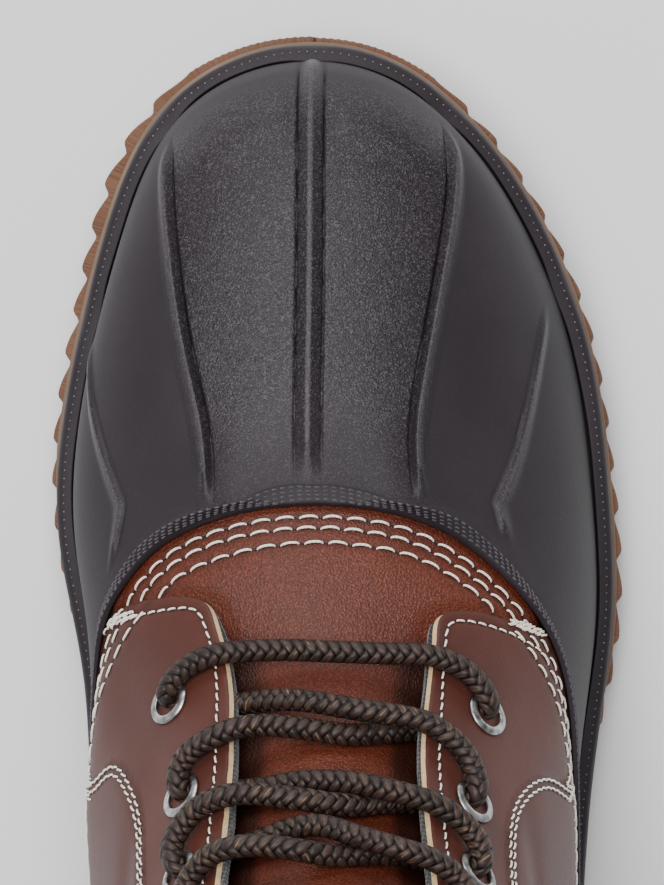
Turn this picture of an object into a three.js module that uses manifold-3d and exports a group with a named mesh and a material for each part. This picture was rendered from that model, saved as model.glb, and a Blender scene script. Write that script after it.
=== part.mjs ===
// Lace-up duck boot for the right foot: gum outsole, rubber lower shell, leather upper.
// Millimetres, +Z up. The toe points to -Y, the heel to +Y, the inner (medial) side is +X.
// u is the distance behind the toe tip of the outsole, so y = u - BOOT_LENGTH / 2.
import * as THREE from "three";
import { mergeVertices } from "three/addons/utils/BufferGeometryUtils.js";
import Module from "manifold-3d";

// ---------- driving sizes ----------
const BOOT_LENGTH = 306; // outsole, toe tip to heel end
const MID_X = -1.08; // middle of the outsole's width, moved to x = 0
const TOP_HALF_WIDTH = 38.5; // leg opening, half its width
const BALL_LEVEL = 62; // height where the MIDDLE_WIDTH table holds
const TOP_LEVEL = 195; // height where TOP_HALF_WIDTH holds
const FRONT_ROUNDING = 58; // how far behind the front line the width is nearly full
const BACK_ROUNDING = 39; // the same ahead of the heel line
const SIDE_POWER = 2.45; // squareness of the side
const TOP_POWER = 2.08; // roundness of the crest
const RIM_PROUD = 3.3; // rim bead beyond the shell wall
const RIM_BELOW = 2.1; // rim bead below the rim line
const RIM_ABOVE = 2.4; // rim bead above the rim line
const RUBBER_WALL = 2.5;
const BAND_TOP_PROUD = 0.8; // collar band of the shell, its upper edge from the form's surface
const BAND_INSIDE = -0.4; // its inner face, from the form's surface
const RIB_WIDTH = 4.4;
const RIB_PROUD = 1.6;
const LEATHER_FACE = -0.9; // outer face of the quarters, from the form's surface
const QUARTER_WALL = 2.2;
const VAMP_FACE = -1.1; // outer face of the vamp ahead of the quarters
const VAMP_LAPPED = -4; // where it goes in under them
const VAMP_WALL = 1.9;
const TONGUE_CREST = -7; // outer face of the tongue on its middle line
const TONGUE_SIDE = -8.4; // and under the facings
const TUCK = 3; // leather below the shell's edge, inside the band
const MIDSOLE_TOP = -2.4; // from the rim line
const MIDSOLE_BOTTOM = -4.2;
const OUTSOLE_TOP = -4.5;
const INSOLE_THICK = 4;
const TOE_SPRING = 11; // underside of the toe tip above the floor
const TOE_SPRING_LENGTH = 85;
const ARCH_RISE = 4;
const ARCH_FROM = 132;
const ARCH_TO = 214;
const LUG_PITCH = 8.5;
const LUG_DEPTH = 1.4;
const GROOVE_WIDE = 3;
const GROOVE_DEEP = 3;
const EYELET_FLANGE_R = 4.7;
const EYELET_BARREL_R = 3.1;
const EYELET_HOLE_R = 2.4;
const LACE_HOLE_R = 3.6;
const LACE_R = 2.1;

// ---------- tables ----------
// crest of the form: toe wall, toe top, instep and front of the leg, from toe to collar
const CREST_LINE = [
  { u: 5.4, z: 20 }, { u: 5.5, z: 29 }, { u: 6.4, z: 36.5 }, { u: 8.9, z: 43 }, { u: 13.7, z: 48.6 },
  { u: 21.5, z: 53.2 }, { u: 34, z: 57.4 }, { u: 50, z: 60.7 }, { u: 68, z: 63.8 }, { u: 84, z: 67.3 },
  { u: 96, z: 71.8 }, { u: 110, z: 80.2 }, { u: 127, z: 94 }, { u: 143, z: 111 }, { u: 157, z: 131 },
  { u: 167, z: 152 }, { u: 173, z: 173 }, { u: 176.5, z: 196 }, { u: 178.5, z: 215 },
];
// back of the form, from the heel seat up
const HEEL_LINE = [
  { u: 300.6, z: 16 }, { u: 301.2, z: 34 }, { u: 300.4, z: 52 }, { u: 298, z: 72 }, { u: 294.6, z: 95 },
  { u: 291.6, z: 118 }, { u: 290.4, z: 142 }, { u: 291, z: 168 }, { u: 293, z: 196 }, { u: 295, z: 215 },
];
// height of the rim line, curve of the middle line
const RIM_HEIGHT = [
  { u: 0, z: 27.5 }, { u: 20, z: 23.6 }, { u: 45, z: 20 }, { u: 85, z: 17.2 },
  { u: 130, z: 17 }, { u: 175, z: 18.4 }, { u: 225, z: 21 }, { u: 306, z: 24 },
];
const MIDDLE_LINE = [
  { u: 0, x: 3.9 }, { u: 60, x: 3.7 }, { u: 90, x: 3.5 }, { u: 115, x: 1.4 },
  { u: 140, x: 0.9 }, { u: 180, x: -0.3 }, { u: 240, x: -1.2 }, { u: 306, x: -1.5 },
];
// half widths before the ends are rounded off
const SEAT_WIDTH = [
  { u: 0, medial: 40.5, lateral: 38.6 }, { u: 14, medial: 41.5, lateral: 39.6 }, { u: 25, medial: 41.4, lateral: 42.6 },
  { u: 40, medial: 42.2, lateral: 47.2 }, { u: 58, medial: 44.6, lateral: 52.2 }, { u: 80, medial: 47.6, lateral: 55.6 },
  { u: 103, medial: 48.9, lateral: 55.6 }, { u: 128, medial: 45.6, lateral: 52.8 }, { u: 154, medial: 44.4, lateral: 49 },
  { u: 180, medial: 43.6, lateral: 46.2 }, { u: 215, medial: 40.4, lateral: 42 }, { u: 250, medial: 38.2, lateral: 39.2 },
  { u: 280, medial: 37, lateral: 37.6 }, { u: 306, medial: 36.4, lateral: 36.6 },
];
const MIDDLE_WIDTH = [
  { u: 0, medial: 40, lateral: 38 }, { u: 25, medial: 42.6, lateral: 43.5 }, { u: 60, medial: 51.4, lateral: 48 },
  { u: 90, medial: 52.6, lateral: 53.6 }, { u: 110, medial: 51.6, lateral: 53.6 }, { u: 130, medial: 50, lateral: 51.8 },
  { u: 150, medial: 49, lateral: 50.4 }, { u: 175, medial: 47.2, lateral: 48.6 }, { u: 200, medial: 44.6, lateral: 46.2 },
  { u: 230, medial: 41, lateral: 42.6 }, { u: 260, medial: 38.6, lateral: 39.8 }, { u: 306, medial: 37, lateral: 38 },
];
// upper edge of the rubber shell on each side, and the collar
const SHELL_EDGE_MEDIAL = [
  { u: 93.2, z: 70.5 }, { u: 95.4, z: 69 }, { u: 101, z: 65.4 }, { u: 107.8, z: 62 }, { u: 114.7, z: 58 }, { u: 122, z: 54.8 },
  { u: 132, z: 51.6 }, { u: 150, z: 49.2 }, { u: 180, z: 49.2 }, { u: 225, z: 53 }, { u: 270, z: 58.5 }, { u: 303, z: 61 },
];
const SHELL_EDGE_LATERAL = [
  { u: 93.2, z: 70.5 }, { u: 96, z: 68.8 }, { u: 100, z: 67.3 }, { u: 106.8, z: 65.2 }, { u: 112.6, z: 63 }, { u: 118, z: 60.4 },
  { u: 126, z: 56.6 }, { u: 138, z: 52.6 }, { u: 155, z: 50 }, { u: 180, z: 49.7 }, { u: 225, z: 53 }, { u: 270, z: 58.5 }, { u: 303, z: 61 },
];
const COLLAR_LINE = [
  { u: 150, z: 188 }, { u: 170, z: 187 }, { u: 200, z: 184 }, { u: 235, z: 181.6 }, { u: 270, z: 182.6 }, { u: 300, z: 185 },
];
// where the crest and the heel line are met by the rim line, the shell edge and the collar
const RIM_ENDS = { crest: 27, heel: 24 };
const SHELL_ENDS = { crest: 70.5, heel: 61 };
const COLLAR_ENDS = { crest: 187, heel: 184.6 };
// front edge of the quarters: level (1 shell edge, 2 collar) and turn from the crest in degrees
const FACING_EDGE = [
  { level: 0.88, turn: 45 }, { level: 0.98, turn: 40.5 }, { level: 1.02, turn: 34.5 }, { level: 1.045, turn: 29.5 },
  { level: 1.07, turn: 24.5 }, { level: 1.09, turn: 20.5 }, { level: 1.11, turn: 17.6 }, { level: 1.14, turn: 16.6 },
  { level: 1.2, turn: 16.8 }, { level: 1.3, turn: 18.4 }, { level: 1.4, turn: 20.9 }, { level: 1.5, turn: 22.8 },
  { level: 1.6, turn: 24 }, { level: 1.8, turn: 24.4 }, { level: 2, turn: 24.6 }, { level: 2.1, turn: 24.8 },
];
// half width of the vamp and tongue sheet, in turn
const TONGUE_EDGE = [
  { level: 0.88, turn: 60 }, { level: 1, turn: 56 }, { level: 1.1, turn: 46 }, { level: 1.2, turn: 44 },
  { level: 1.4, turn: 47 }, { level: 1.6, turn: 49 }, { level: 1.8, turn: 46 }, { level: 2, turn: 42 }, { level: 2.1, turn: 40 },
];
const EYELETS = [
  { name: "medial_1", side: 1, level: 1.192, turn: 31.4 }, { name: "medial_2", side: 1, level: 1.335, turn: 34.6 },
  { name: "medial_3", side: 1, level: 1.445, turn: 39.6 }, { name: "medial_4", side: 1, level: 1.6, turn: 40.4 },
  { name: "medial_5", side: 1, level: 1.78, turn: 41 }, { name: "lateral_1", side: -1, level: 1.213, turn: 31.2 },
  { name: "lateral_2", side: -1, level: 1.353, turn: 33.7 }, { name: "lateral_3", side: -1, level: 1.46, turn: 37.7 },
  { name: "lateral_4", side: -1, level: 1.625, turn: 39.6 }, { name: "lateral_5", side: -1, level: 1.8, turn: 41 },
];
// collar band: turn from the crest, height along the surface, how far its lower edge stands off the form
const BAND = [
  { turn: 0, height: 3.8, proud: 1.4 }, { turn: 4, height: 4.4, proud: 1.4 }, { turn: 8, height: 6, proud: 1.5 },
  { turn: 12, height: 7.4, proud: 2.1 }, { turn: 16, height: 7.4, proud: 3 }, { turn: 20, height: 6.8, proud: 3.3 },
  { turn: 24, height: 6.5, proud: 2.9 }, { turn: 28, height: 6.5, proud: 2 }, { turn: 32, height: 6.1, proud: 1.5 },
  { turn: 36, height: 5.7, proud: 1 }, { turn: 40, height: 5.2, proud: 0.7 }, { turn: 48, height: 5, proud: 0.6 },
  { turn: 62, height: 5, proud: 0.7 }, { turn: 90, height: 5.6, proud: 1.1 }, { turn: 180, height: 5.6, proud: 1.2 },
];
// ribs of the shell: turn at the lower end, at mid length and at the upper end
const RIBS = [
  { from: 0.15, to: 0.97, low: 0, mid: 0.6, high: 1 },
  { from: 0.17, to: 0.93, low: 24.5, mid: 26, high: 23.5 },
  { from: 0.17, to: 0.93, low: -21.5, mid: -25, high: -22.5 },
  { from: 0.16, to: 0.84, low: 50, mid: 48.2, high: 42.5 },
  { from: 0.16, to: 0.86, low: -46.5, mid: -46.5, high: -37 },
];
// outsole edge beyond the rim bead, at the lug tips
const OUTSOLE_EDGE = [
  { u: 0, medial: 1.7, lateral: 1.7 }, { u: 19, medial: 3, lateral: 2 }, { u: 28, medial: 3.4, lateral: 1.8 },
  { u: 53, medial: 2.6, lateral: 1.8 }, { u: 79, medial: 1.8, lateral: 1.6 }, { u: 95, medial: 0.9, lateral: 1.9 },
  { u: 109, medial: 0.5, lateral: 2 }, { u: 125, medial: 0.2, lateral: 1.6 }, { u: 141, medial: 0, lateral: 0.2 },
  { u: 180, medial: -0.4, lateral: -0.4 }, { u: 215, medial: 0.2, lateral: 0.2 }, { u: 245, medial: 1.4, lateral: 1.4 },
  { u: 306, medial: 1.7, lateral: 1.7 },
];
// grooves across the tread: u of the middle, half length
const GROOVES = [
  { u: 30, half: 24 }, { u: 42, half: 31 }, { u: 54, half: 36 }, { u: 66, half: 40 }, { u: 78, half: 42 },
  { u: 102, half: 43 }, { u: 114, half: 42 }, { u: 126, half: 40 },
  { u: 224, half: 28 }, { u: 236, half: 27 }, { u: 266, half: 25 }, { u: 278, half: 22 },
];
const COLOURS = {
  outsole: 0xa8865c, midsole: 0xc9b188, shell: 0x3a3432, vamp_tongue: 0x5b2d20, upper: 0x6b3828,
  insole: 0xb9a98c, eyelet: 0xb9babb, lace: 0x32241c,
};

// ---------- curves ----------
// smooth curve through a table's rows, flat beyond its ends
function curve(rows, key, at = "u") {
  const n = rows.length, x = rows.map((r) => r[at]), y = rows.map((r) => r[key]);
  const second = new Array(n).fill(0), help = new Array(n).fill(0);
  for (let i = 1; i < n - 1; i++) {
    const part = (x[i] - x[i - 1]) / (x[i + 1] - x[i - 1]), p = part * second[i - 1] + 2;
    second[i] = (part - 1) / p;
    const slope = (y[i + 1] - y[i]) / (x[i + 1] - x[i]) - (y[i] - y[i - 1]) / (x[i] - x[i - 1]);
    help[i] = ((6 * slope) / (x[i + 1] - x[i - 1]) - part * help[i - 1]) / p;
  }
  for (let i = n - 2; i > 0; i--) second[i] = second[i] * second[i + 1] + help[i];
  return (v) => {
    const q = Math.min(Math.max(v, x[0]), x[n - 1]);
    let i = 0;
    while (i < n - 2 && q > x[i + 1]) i++;
    const h = x[i + 1] - x[i], a = (x[i + 1] - q) / h, b = (q - x[i]) / h;
    return a * y[i] + b * y[i + 1] + (((a * a * a - a) * second[i] + (b * b * b - b) * second[i + 1]) * h * h) / 6;
  };
}
const clamp01 = (v) => Math.min(Math.max(v, 0), 1);
const smooth = (a, b, v) => { const q = clamp01((v - a) / (b - a)); return q * q * (3 - 2 * q); };
const mix = (a, b, k) => a + (b - a) * k;
// a line in the side view, by its length
function sideLine(rows, count = 900) {
  let run = 0;
  const byRun = rows.map((r, i) => {
    if (i) run += Math.hypot(r.u - rows[i - 1].u, r.z - rows[i - 1].z);
    return { s: run, u: r.u, z: r.z };
  });
  const u = curve(byRun, "u", "s"), z = curve(byRun, "z", "s"), pts = [];
  for (let i = 0; i <= count; i++) { const s = (run * i) / count; pts.push({ s, u: u(s), z: z(s) }); }
  return pts;
}
// value of one column where another has a given value, both rising
function lookUp(pts, known, value, wanted) {
  let lo = 0, hi = pts.length - 1;
  if (value <= pts[0][known]) return pts[0][wanted];
  if (value >= pts[hi][known]) return pts[hi][wanted];
  while (hi - lo > 1) { const m = (lo + hi) >> 1; if (pts[m][known] <= value) lo = m; else hi = m; }
  const a = pts[lo], b = pts[hi];
  return mix(a[wanted], b[wanted], (value - a[known]) / Math.max(b[known] - a[known], 1e-9));
}
const crest = sideLine(CREST_LINE), heel = sideLine(HEEL_LINE);
const rimHeight = curve(RIM_HEIGHT, "z"), middle = curve(MIDDLE_LINE, "x");
const seat = { medial: curve(SEAT_WIDTH, "medial"), lateral: curve(SEAT_WIDTH, "lateral") };
const mid = { medial: curve(MIDDLE_WIDTH, "medial"), lateral: curve(MIDDLE_WIDTH, "lateral") };
const shellEdge = { medial: curve(SHELL_EDGE_MEDIAL, "z"), lateral: curve(SHELL_EDGE_LATERAL, "z") };
const collar = curve(COLLAR_LINE, "z");
const facingEdge = curve(FACING_EDGE, "turn", "level"), tongueEdge = curve(TONGUE_EDGE, "turn", "level");
const bandHeight = curve(BAND, "height", "turn"), bandProud = curve(BAND, "proud", "turn");
const outsoleEdge = { medial: curve(OUTSOLE_EDGE, "medial"), lateral: curve(OUTSOLE_EDGE, "lateral") };

// ---------- form of the boot ----------
const crestEnd = crest[crest.length - 1];
const LEG_SLOPE = 9.5;
const crestHeight = (u) => (u > crestEnd.u ? crestEnd.z + (u - crestEnd.u) * LEG_SLOPE : lookUp(crest, "u", u, "z"));
const rounded = (m) => Math.pow(1 - Math.pow(1 - clamp01(m), SIDE_POWER), 1 / TOP_POWER);
function halfWidth(u, z, side) {
  const low = rimHeight(u);
  let w = mix(seat[side](u), mid[side](u), smooth(0, 1, (z - low) / (BALL_LEVEL - low)));
  w = mix(w, TOP_HALF_WIDTH, smooth(0, 1, (z - BALL_LEVEL) / (TOP_LEVEL - BALL_LEVEL)));
  const tall = Math.max(crestHeight(u) - low, 1e-6), below = Math.max(crestHeight(u) - z, 1e-9);
  const behind = Math.max(u - lookUp(crest, "z", z, "u"), 1e-9);
  const m = 1 / Math.hypot(tall / below, FRONT_ROUNDING / behind);
  const ahead = Math.max(lookUp(heel, "z", z, "u") - u, 0) / BACK_ROUNDING;
  return w * rounded(m) * rounded(ahead);
}
const crestRun = (ends) => lookUp(crest, "z", ends.crest, "s");
// point of the form: level 0 rim line, 1 shell edge, 2 collar; turn in degrees from the crest, medial side first
function form(level, turn) {
  const a = (turn * Math.PI) / 180, s = (1 - Math.cos(a)) / 2, lower = level <= 1;
  const k = lower ? level : level - 1, from = lower ? RIM_ENDS : SHELL_ENDS, to = lower ? SHELL_ENDS : COLLAR_ENDS;
  const run = mix(crestRun(from), crestRun(to), k);
  const front = { u: lookUp(crest, "s", run, "u"), z: lookUp(crest, "s", run, "z") };
  const backZ = mix(from.heel, to.heel, k), back = { u: lookUp(heel, "z", backZ, "u"), z: backZ };
  const side = Math.sin(a) >= 0 ? "medial" : "lateral";
  const line = (u) => (lower ? mix(rimHeight(u), shellEdge[side](u), k) : mix(shellEdge[side](u), collar(u), k));
  const u = mix(front.u, back.u, s);
  const z = line(u) + (front.z - line(front.u)) * Math.pow(1 - s, 3.2) + (back.z - line(back.u)) * Math.pow(s, 3);
  const w = halfWidth(u, z, side);
  return new THREE.Vector3(middle(u) + (side === "medial" ? w : -w) - MID_X, u - BOOT_LENGTH / 2, z);
}
function outward(level, turn) {
  const along = form(level, turn + 1.5).sub(form(level, turn - 1.5));
  const low = level < 1 && level > 0.985 ? 0.97 : level - 0.012, high = level < 1 ? Math.min(level + 0.012, 1) : level + 0.012;
  const up = form(high, turn).sub(form(low < 1 && level >= 1 ? 1 : Math.max(low, 0), turn));
  return along.cross(up).normalize();
}
// point at a distance off the form, outwards positive
const skin = (level, turn, off) => form(level, turn).addScaledVector(outward(level, turn), off);
// level that lies a length below or above the shell edge
function edgeLevel(turn, above) {
  const step = above < 0 ? -0.04 : 0.04;
  const speed = form(1 + step, turn).distanceTo(form(1, turn)) / Math.abs(step);
  return 1 + above / speed;
}

// ---------- making solids ----------
const wasm = await Module();
wasm.setup();
const group = new THREE.Group();
group.name = "duck_boot";
function fromTriangles(vertices, triangles) {
  const g = new THREE.BufferGeometry();
  g.setAttribute("position", new THREE.Float32BufferAttribute(vertices.flatMap((v) => [v.x, v.y, v.z]), 3));
  g.setIndex(triangles.flat());
  return g;
}
// closed solid from a grid of section rings: rings[i] is one closed ring; the rings follow one another, in a loop or with two ends
function loft(rings, looped) {
  const n = rings.length, m = rings[0].length, v = rings.flat(), t = [];
  for (let i = 0; i < (looped ? n : n - 1); i++)
    for (let j = 0; j < m; j++) {
      const a = i * m + j, b = i * m + ((j + 1) % m), c = ((i + 1) % n) * m + ((j + 1) % m), d = ((i + 1) % n) * m + j;
      t.push([a, b, c], [a, c, d]);
    }
  return { v, t, m, n };
}
function toManifold(g) {
  const plain = new THREE.BufferGeometry().setAttribute("position", (g.index ? g.toNonIndexed() : g).getAttribute("position"));
  const welded = mergeVertices(plain, 1e-3);
  const solid = new wasm.Manifold(new wasm.Mesh({
    numProp: 3, vertProperties: new Float32Array(welded.attributes.position.array), triVerts: new Uint32Array(welded.index.array),
  }));
  return solid;
}
function toGeometry(solid) {
  const m = solid.getMesh(), n = m.numProp, out = [];
  for (let i = 0; i < m.vertProperties.length / n; i++) out.push(m.vertProperties[i * n], m.vertProperties[i * n + 1], m.vertProperties[i * n + 2]);
  const g = new THREE.BufferGeometry();
  g.setAttribute("position", new THREE.Float32BufferAttribute(out, 3));
  g.setIndex(Array.from(m.triVerts));
  return g;
}
function add(name, geometry, colour) {
  const mesh = new THREE.Mesh(geometry, new THREE.MeshStandardMaterial({ color: colour, roughness: 0.7 }));
  geometry.computeVertexNormals();
  mesh.name = name;
  group.add(mesh);
}
// sheet solid with free sides: outer(i, j) and inner(i, j) over columns i and rows j
function sheet(columns, rows, outer, inner) {
  const v = [], t = [], id = (k, i, j) => (k * columns + i) * rows + j;
  for (const face of [outer, inner]) for (let i = 0; i < columns; i++) for (let j = 0; j < rows; j++) v.push(face(i, j));
  const quad = (a, b, c, d) => t.push([a, b, c], [a, c, d]);
  for (let i = 0; i < columns - 1; i++)
    for (let j = 0; j < rows - 1; j++) {
      quad(id(0, i, j), id(0, i + 1, j), id(0, i + 1, j + 1), id(0, i, j + 1));
      t.push([id(1, i, j), id(1, i + 1, j + 1), id(1, i + 1, j)], [id(1, i, j), id(1, i, j + 1), id(1, i + 1, j + 1)]);
    }
  for (let i = 0; i < columns - 1; i++) {
    quad(id(0, i + 1, 0), id(0, i, 0), id(1, i, 0), id(1, i + 1, 0));
    quad(id(0, i, rows - 1), id(0, i + 1, rows - 1), id(1, i + 1, rows - 1), id(1, i, rows - 1));
  }
  for (let j = 0; j < rows - 1; j++) {
    quad(id(0, 0, j), id(0, 0, j + 1), id(1, 0, j + 1), id(1, 0, j));
    quad(id(0, columns - 1, j + 1), id(0, columns - 1, j), id(1, columns - 1, j), id(1, columns - 1, j + 1));
  }
  return fromTriangles(v, t);
}

// ---------- rubber shell ----------
const SHELL_COLUMNS = 50;
// turn of a column, closer together at toe and heel
const columnTurn = (i, n) => (360 * i) / n;
const rimPoint = (turn, out, up) => {
  const p = form(0, turn), before = form(0, turn - 2), after = form(0, turn + 2);
  const nx = after.y - before.y, ny = -(after.x - before.x), n = Math.hypot(nx, ny);
  return new THREE.Vector3(p.x + (nx / n) * out, p.y + (ny / n) * out, p.z + up);
};
function shellRing(turn) {
  const aside = turn > 180 ? 360 - turn : turn, band = edgeLevel(turn, -bandHeight(aside));
  const ring = [
    rimPoint(turn, -RUBBER_WALL, -RIM_BELOW), rimPoint(turn, RIM_PROUD, -RIM_BELOW), rimPoint(turn, RIM_PROUD, RIM_ABOVE - 0.8),
    rimPoint(turn, RIM_PROUD - 0.9, RIM_ABOVE), rimPoint(turn, 0.7, RIM_ABOVE),
  ];
  for (const f of [0.14, 0.27, 0.41, 0.55, 0.7, 0.85, 0.985]) ring.push(skin(band * f, turn, 0));
  ring.push(skin(band, turn, bandProud(aside)), skin(1, turn, BAND_TOP_PROUD));
  ring.push(skin(1, turn, BAND_INSIDE), skin(band, turn, BAND_INSIDE));
  for (const f of [0.96, 0.75, 0.52, 0.3, 0.1]) ring.push(skin(band * f, turn, -RUBBER_WALL));
  return ring;
}
{
  const rings = [];
  for (let i = 0; i < SHELL_COLUMNS; i++) rings.push(shellRing(columnTurn(i, SHELL_COLUMNS)));
  const { v, t } = loft(rings, true);
  let solid = toManifold(fromTriangles(v, t.map(([a, b, c]) => [a, c, b])));
  // ribs, sunk a little into the wall and joined to it
  for (const rib of RIBS) {
    const steps = 11, sections = [];
    for (let i = 0; i <= steps; i++) {
      const k = i / steps, level = mix(rib.from, rib.to, k);
      const turn = mix(mix(rib.low, rib.mid, Math.min(2 * k, 1)), rib.high, Math.max(2 * k - 1, 0));
      const fade = Math.min(1, Math.min(k, 1 - k) * 5 + 0.25);
      const centre = form(level, turn), n = outward(level, turn);
      const along = form(Math.min(level + 0.02, 1), turn).sub(form(level - 0.02, turn)).normalize();
      const across = new THREE.Vector3().crossVectors(along, n).normalize();
      const at = (side, off) => centre.clone().addScaledVector(across, side * RIB_WIDTH).addScaledVector(n, off);
      sections.push([at(-0.5, -1.1), at(0.5, -1.1), at(0.5, 0.1), at(0.26, RIB_PROUD * fade), at(-0.26, RIB_PROUD * fade), at(-0.5, 0.1)]);
    }
    const { v: rv, t: rt, m, n } = loft(sections, false);
    for (let j = 1; j < m - 1; j++) { rt.push([0, j + 1, j]); const e = (n - 1) * m; rt.push([e, e + j, e + j + 1]); }
    let bar = toManifold(fromTriangles(rv, rt));
    if (bar.volume() < 0) bar = toManifold(fromTriangles(rv, rt.map(([a, b, c]) => [a, c, b])));
    solid = solid.add(bar);
  }
  add("shell", toGeometry(solid), COLOURS.shell);
}

// ---------- leather ----------
function vampOffset(level, turn) {
  const past = Math.abs(turn) - facingEdge(level);
  const lap = mix(VAMP_FACE, VAMP_LAPPED, smooth(-16, -6.5, past));
  const tongue = mix(TONGUE_CREST, TONGUE_SIDE, smooth(0, 22, Math.abs(turn)));
  return mix(lap, tongue, smooth(1.05, 1.22, level));
}
{
  const levels = [1, 1.04, 1.08, 1.12, 1.17, 1.22, 1.3, 1.4, 1.51, 1.62, 1.74, 1.86, 1.95, 2.03];
  const columns = 23, rows = levels.length + 2;
  const place = (i, j) => {
    const share = (2 * i) / (columns - 1) - 1;
    const first = tongueEdge(1) * share;
    const level = j === 0 ? edgeLevel(first, -TUCK) : j === 1 ? edgeLevel(first, -TUCK / 2) : levels[j - 2];
    return { level, turn: share * tongueEdge(Math.max(level, 1)) };
  };
  add("vamp_tongue", sheet(columns, rows,
    (i, j) => { const p = place(i, j); return skin(p.level, p.turn, vampOffset(p.level, p.turn)); },
    (i, j) => { const p = place(i, j); return skin(p.level, p.turn, vampOffset(p.level, p.turn) - VAMP_WALL); }), COLOURS.vamp_tongue);
}
const eyeletFrame = (e) => {
  const n = outward(e.level, e.side * e.turn);
  return { at: skin(e.level, e.side * e.turn, LEATHER_FACE), n };
};
function lathe(profile, segments, at, n) {
  const g = new THREE.LatheGeometry([...profile, profile[0]].map(([r, h]) => new THREE.Vector2(r, h)), segments);
  g.applyQuaternion(new THREE.Quaternion().setFromUnitVectors(new THREE.Vector3(0, 1, 0), n));
  g.translate(at.x, at.y, at.z);
  return g;
}
{
  const levels = [1, 1.03, 1.06, 1.085, 1.11, 1.15, 1.25, 1.37, 1.5, 1.64, 1.78, 1.9, 2];
  const columns = 35, rows = levels.length + 1;
  const place = (i, j) => {
    const even = i / (columns - 1), k = even - 0.07 * Math.sin(2 * Math.PI * even); // closer together near the throat
    const level0 = j === 0 ? 0.93 : levels[j - 1];
    const edge = facingEdge(level0), turn = mix(edge, 360 - edge, k);
    return { level: j === 0 ? edgeLevel(turn, -TUCK) : level0, turn };
  };
  let solid = toManifold(sheet(columns, rows,
    (i, j) => { const p = place(i, j); return skin(p.level, p.turn, LEATHER_FACE); },
    (i, j) => { const p = place(i, j); return skin(p.level, p.turn, LEATHER_FACE - QUARTER_WALL); }));
  for (const e of EYELETS) {
    const { at, n } = eyeletFrame(e);
    const hole = new THREE.CylinderGeometry(LACE_HOLE_R, LACE_HOLE_R, 9, 8);
    hole.applyQuaternion(new THREE.Quaternion().setFromUnitVectors(new THREE.Vector3(0, 1, 0), n));
    hole.translate(at.x, at.y, at.z);
    solid = solid.subtract(toManifold(hole));
  }
  add("upper", toGeometry(solid), COLOURS.upper);
}

// ---------- eyelets ----------
for (const e of EYELETS) {
  const { at, n } = eyeletFrame(e);
  const profile = [
    [EYELET_HOLE_R, -QUARTER_WALL - 0.3], [EYELET_BARREL_R, -QUARTER_WALL - 0.3], [EYELET_BARREL_R, 0.5],
    [EYELET_FLANGE_R, 0.5], [EYELET_FLANGE_R - 0.5, 1.2], [EYELET_HOLE_R, 1.2],
  ];
  add("eyelet_" + e.name, lathe(profile, 10, at, n), COLOURS.eyelet);
}

// ---------- laces: bar over the lowest eyelets, crossings over the tongue ----------
function cord(points, steps) {
  const path = new THREE.CatmullRomCurve3(points);
  const section = new THREE.Shape(Array.from({ length: 6 }, (_, i) => {
    const a = ((i + 0.5) * Math.PI) / 3;
    return new THREE.Vector2(LACE_R * Math.cos(a), LACE_R * Math.sin(a));
  }));
  return new THREE.ExtrudeGeometry(section, { steps, bevelEnabled: false, extrudePath: path });
}
const LACE_ON_FACING = LEATHER_FACE + 0.35 + LACE_R; // middle of a lace that lies on a facing
const LACE_ON_TONGUE = TONGUE_CREST + 0.4 + LACE_R; // and on the crest of the tongue
const LACE_STOP = EYELET_FLANGE_R + 0.9; // end of a lace short of an eyelet's middle
const onFacing = (level, side, past) => skin(level, side * (facingEdge(level) + past), LACE_ON_FACING + 0.7);
function beside(e, from) {
  const to = skin(e.level, e.side * e.turn, LACE_ON_FACING + 0.3);
  return to.clone().addScaledVector(from.clone().sub(to).normalize(), LACE_STOP);
}
// strand that comes up out of the throat beside eyelet a and runs over the other facing to eyelet b
function strand(a, b, lift) {
  const at = (k) => mix(a.level, b.level, k);
  const start = skin(at(0.38), a.side * (facingEdge(at(0.38)) - 4.6), LACE_ON_TONGUE + 0.5);
  const over = onFacing(at(0.78), b.side, 1.6);
  return cord([start, skin(at(0.58), 0, LACE_ON_TONGUE + lift), over, beside(b, over)], 12);
}
const med = EYELETS.filter((e) => e.side > 0), lat = EYELETS.filter((e) => e.side < 0);
{
  const a = onFacing(med[0].level - 0.012, 1, 1.6), b = onFacing(lat[0].level - 0.02, -1, 1.6);
  const top = a.clone().add(b).multiplyScalar(0.5).addScaledVector(outward(med[0].level, 0), 1);
  add("lace_bar_1", toGeometry(toManifold(cord([beside(med[0], a), a, top, b, beside(lat[0], b)], 14))), COLOURS.lace);
}
for (let i = 0; i < med.length - 1; i++) {
  const under = toManifold(strand(lat[i], med[i + 1], 0)), over = toManifold(strand(med[i], lat[i + 1], 2 * LACE_R - 0.9));
  add("lace_cross_" + (i + 1), toGeometry(under.add(over)), COLOURS.lace);
}

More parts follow.
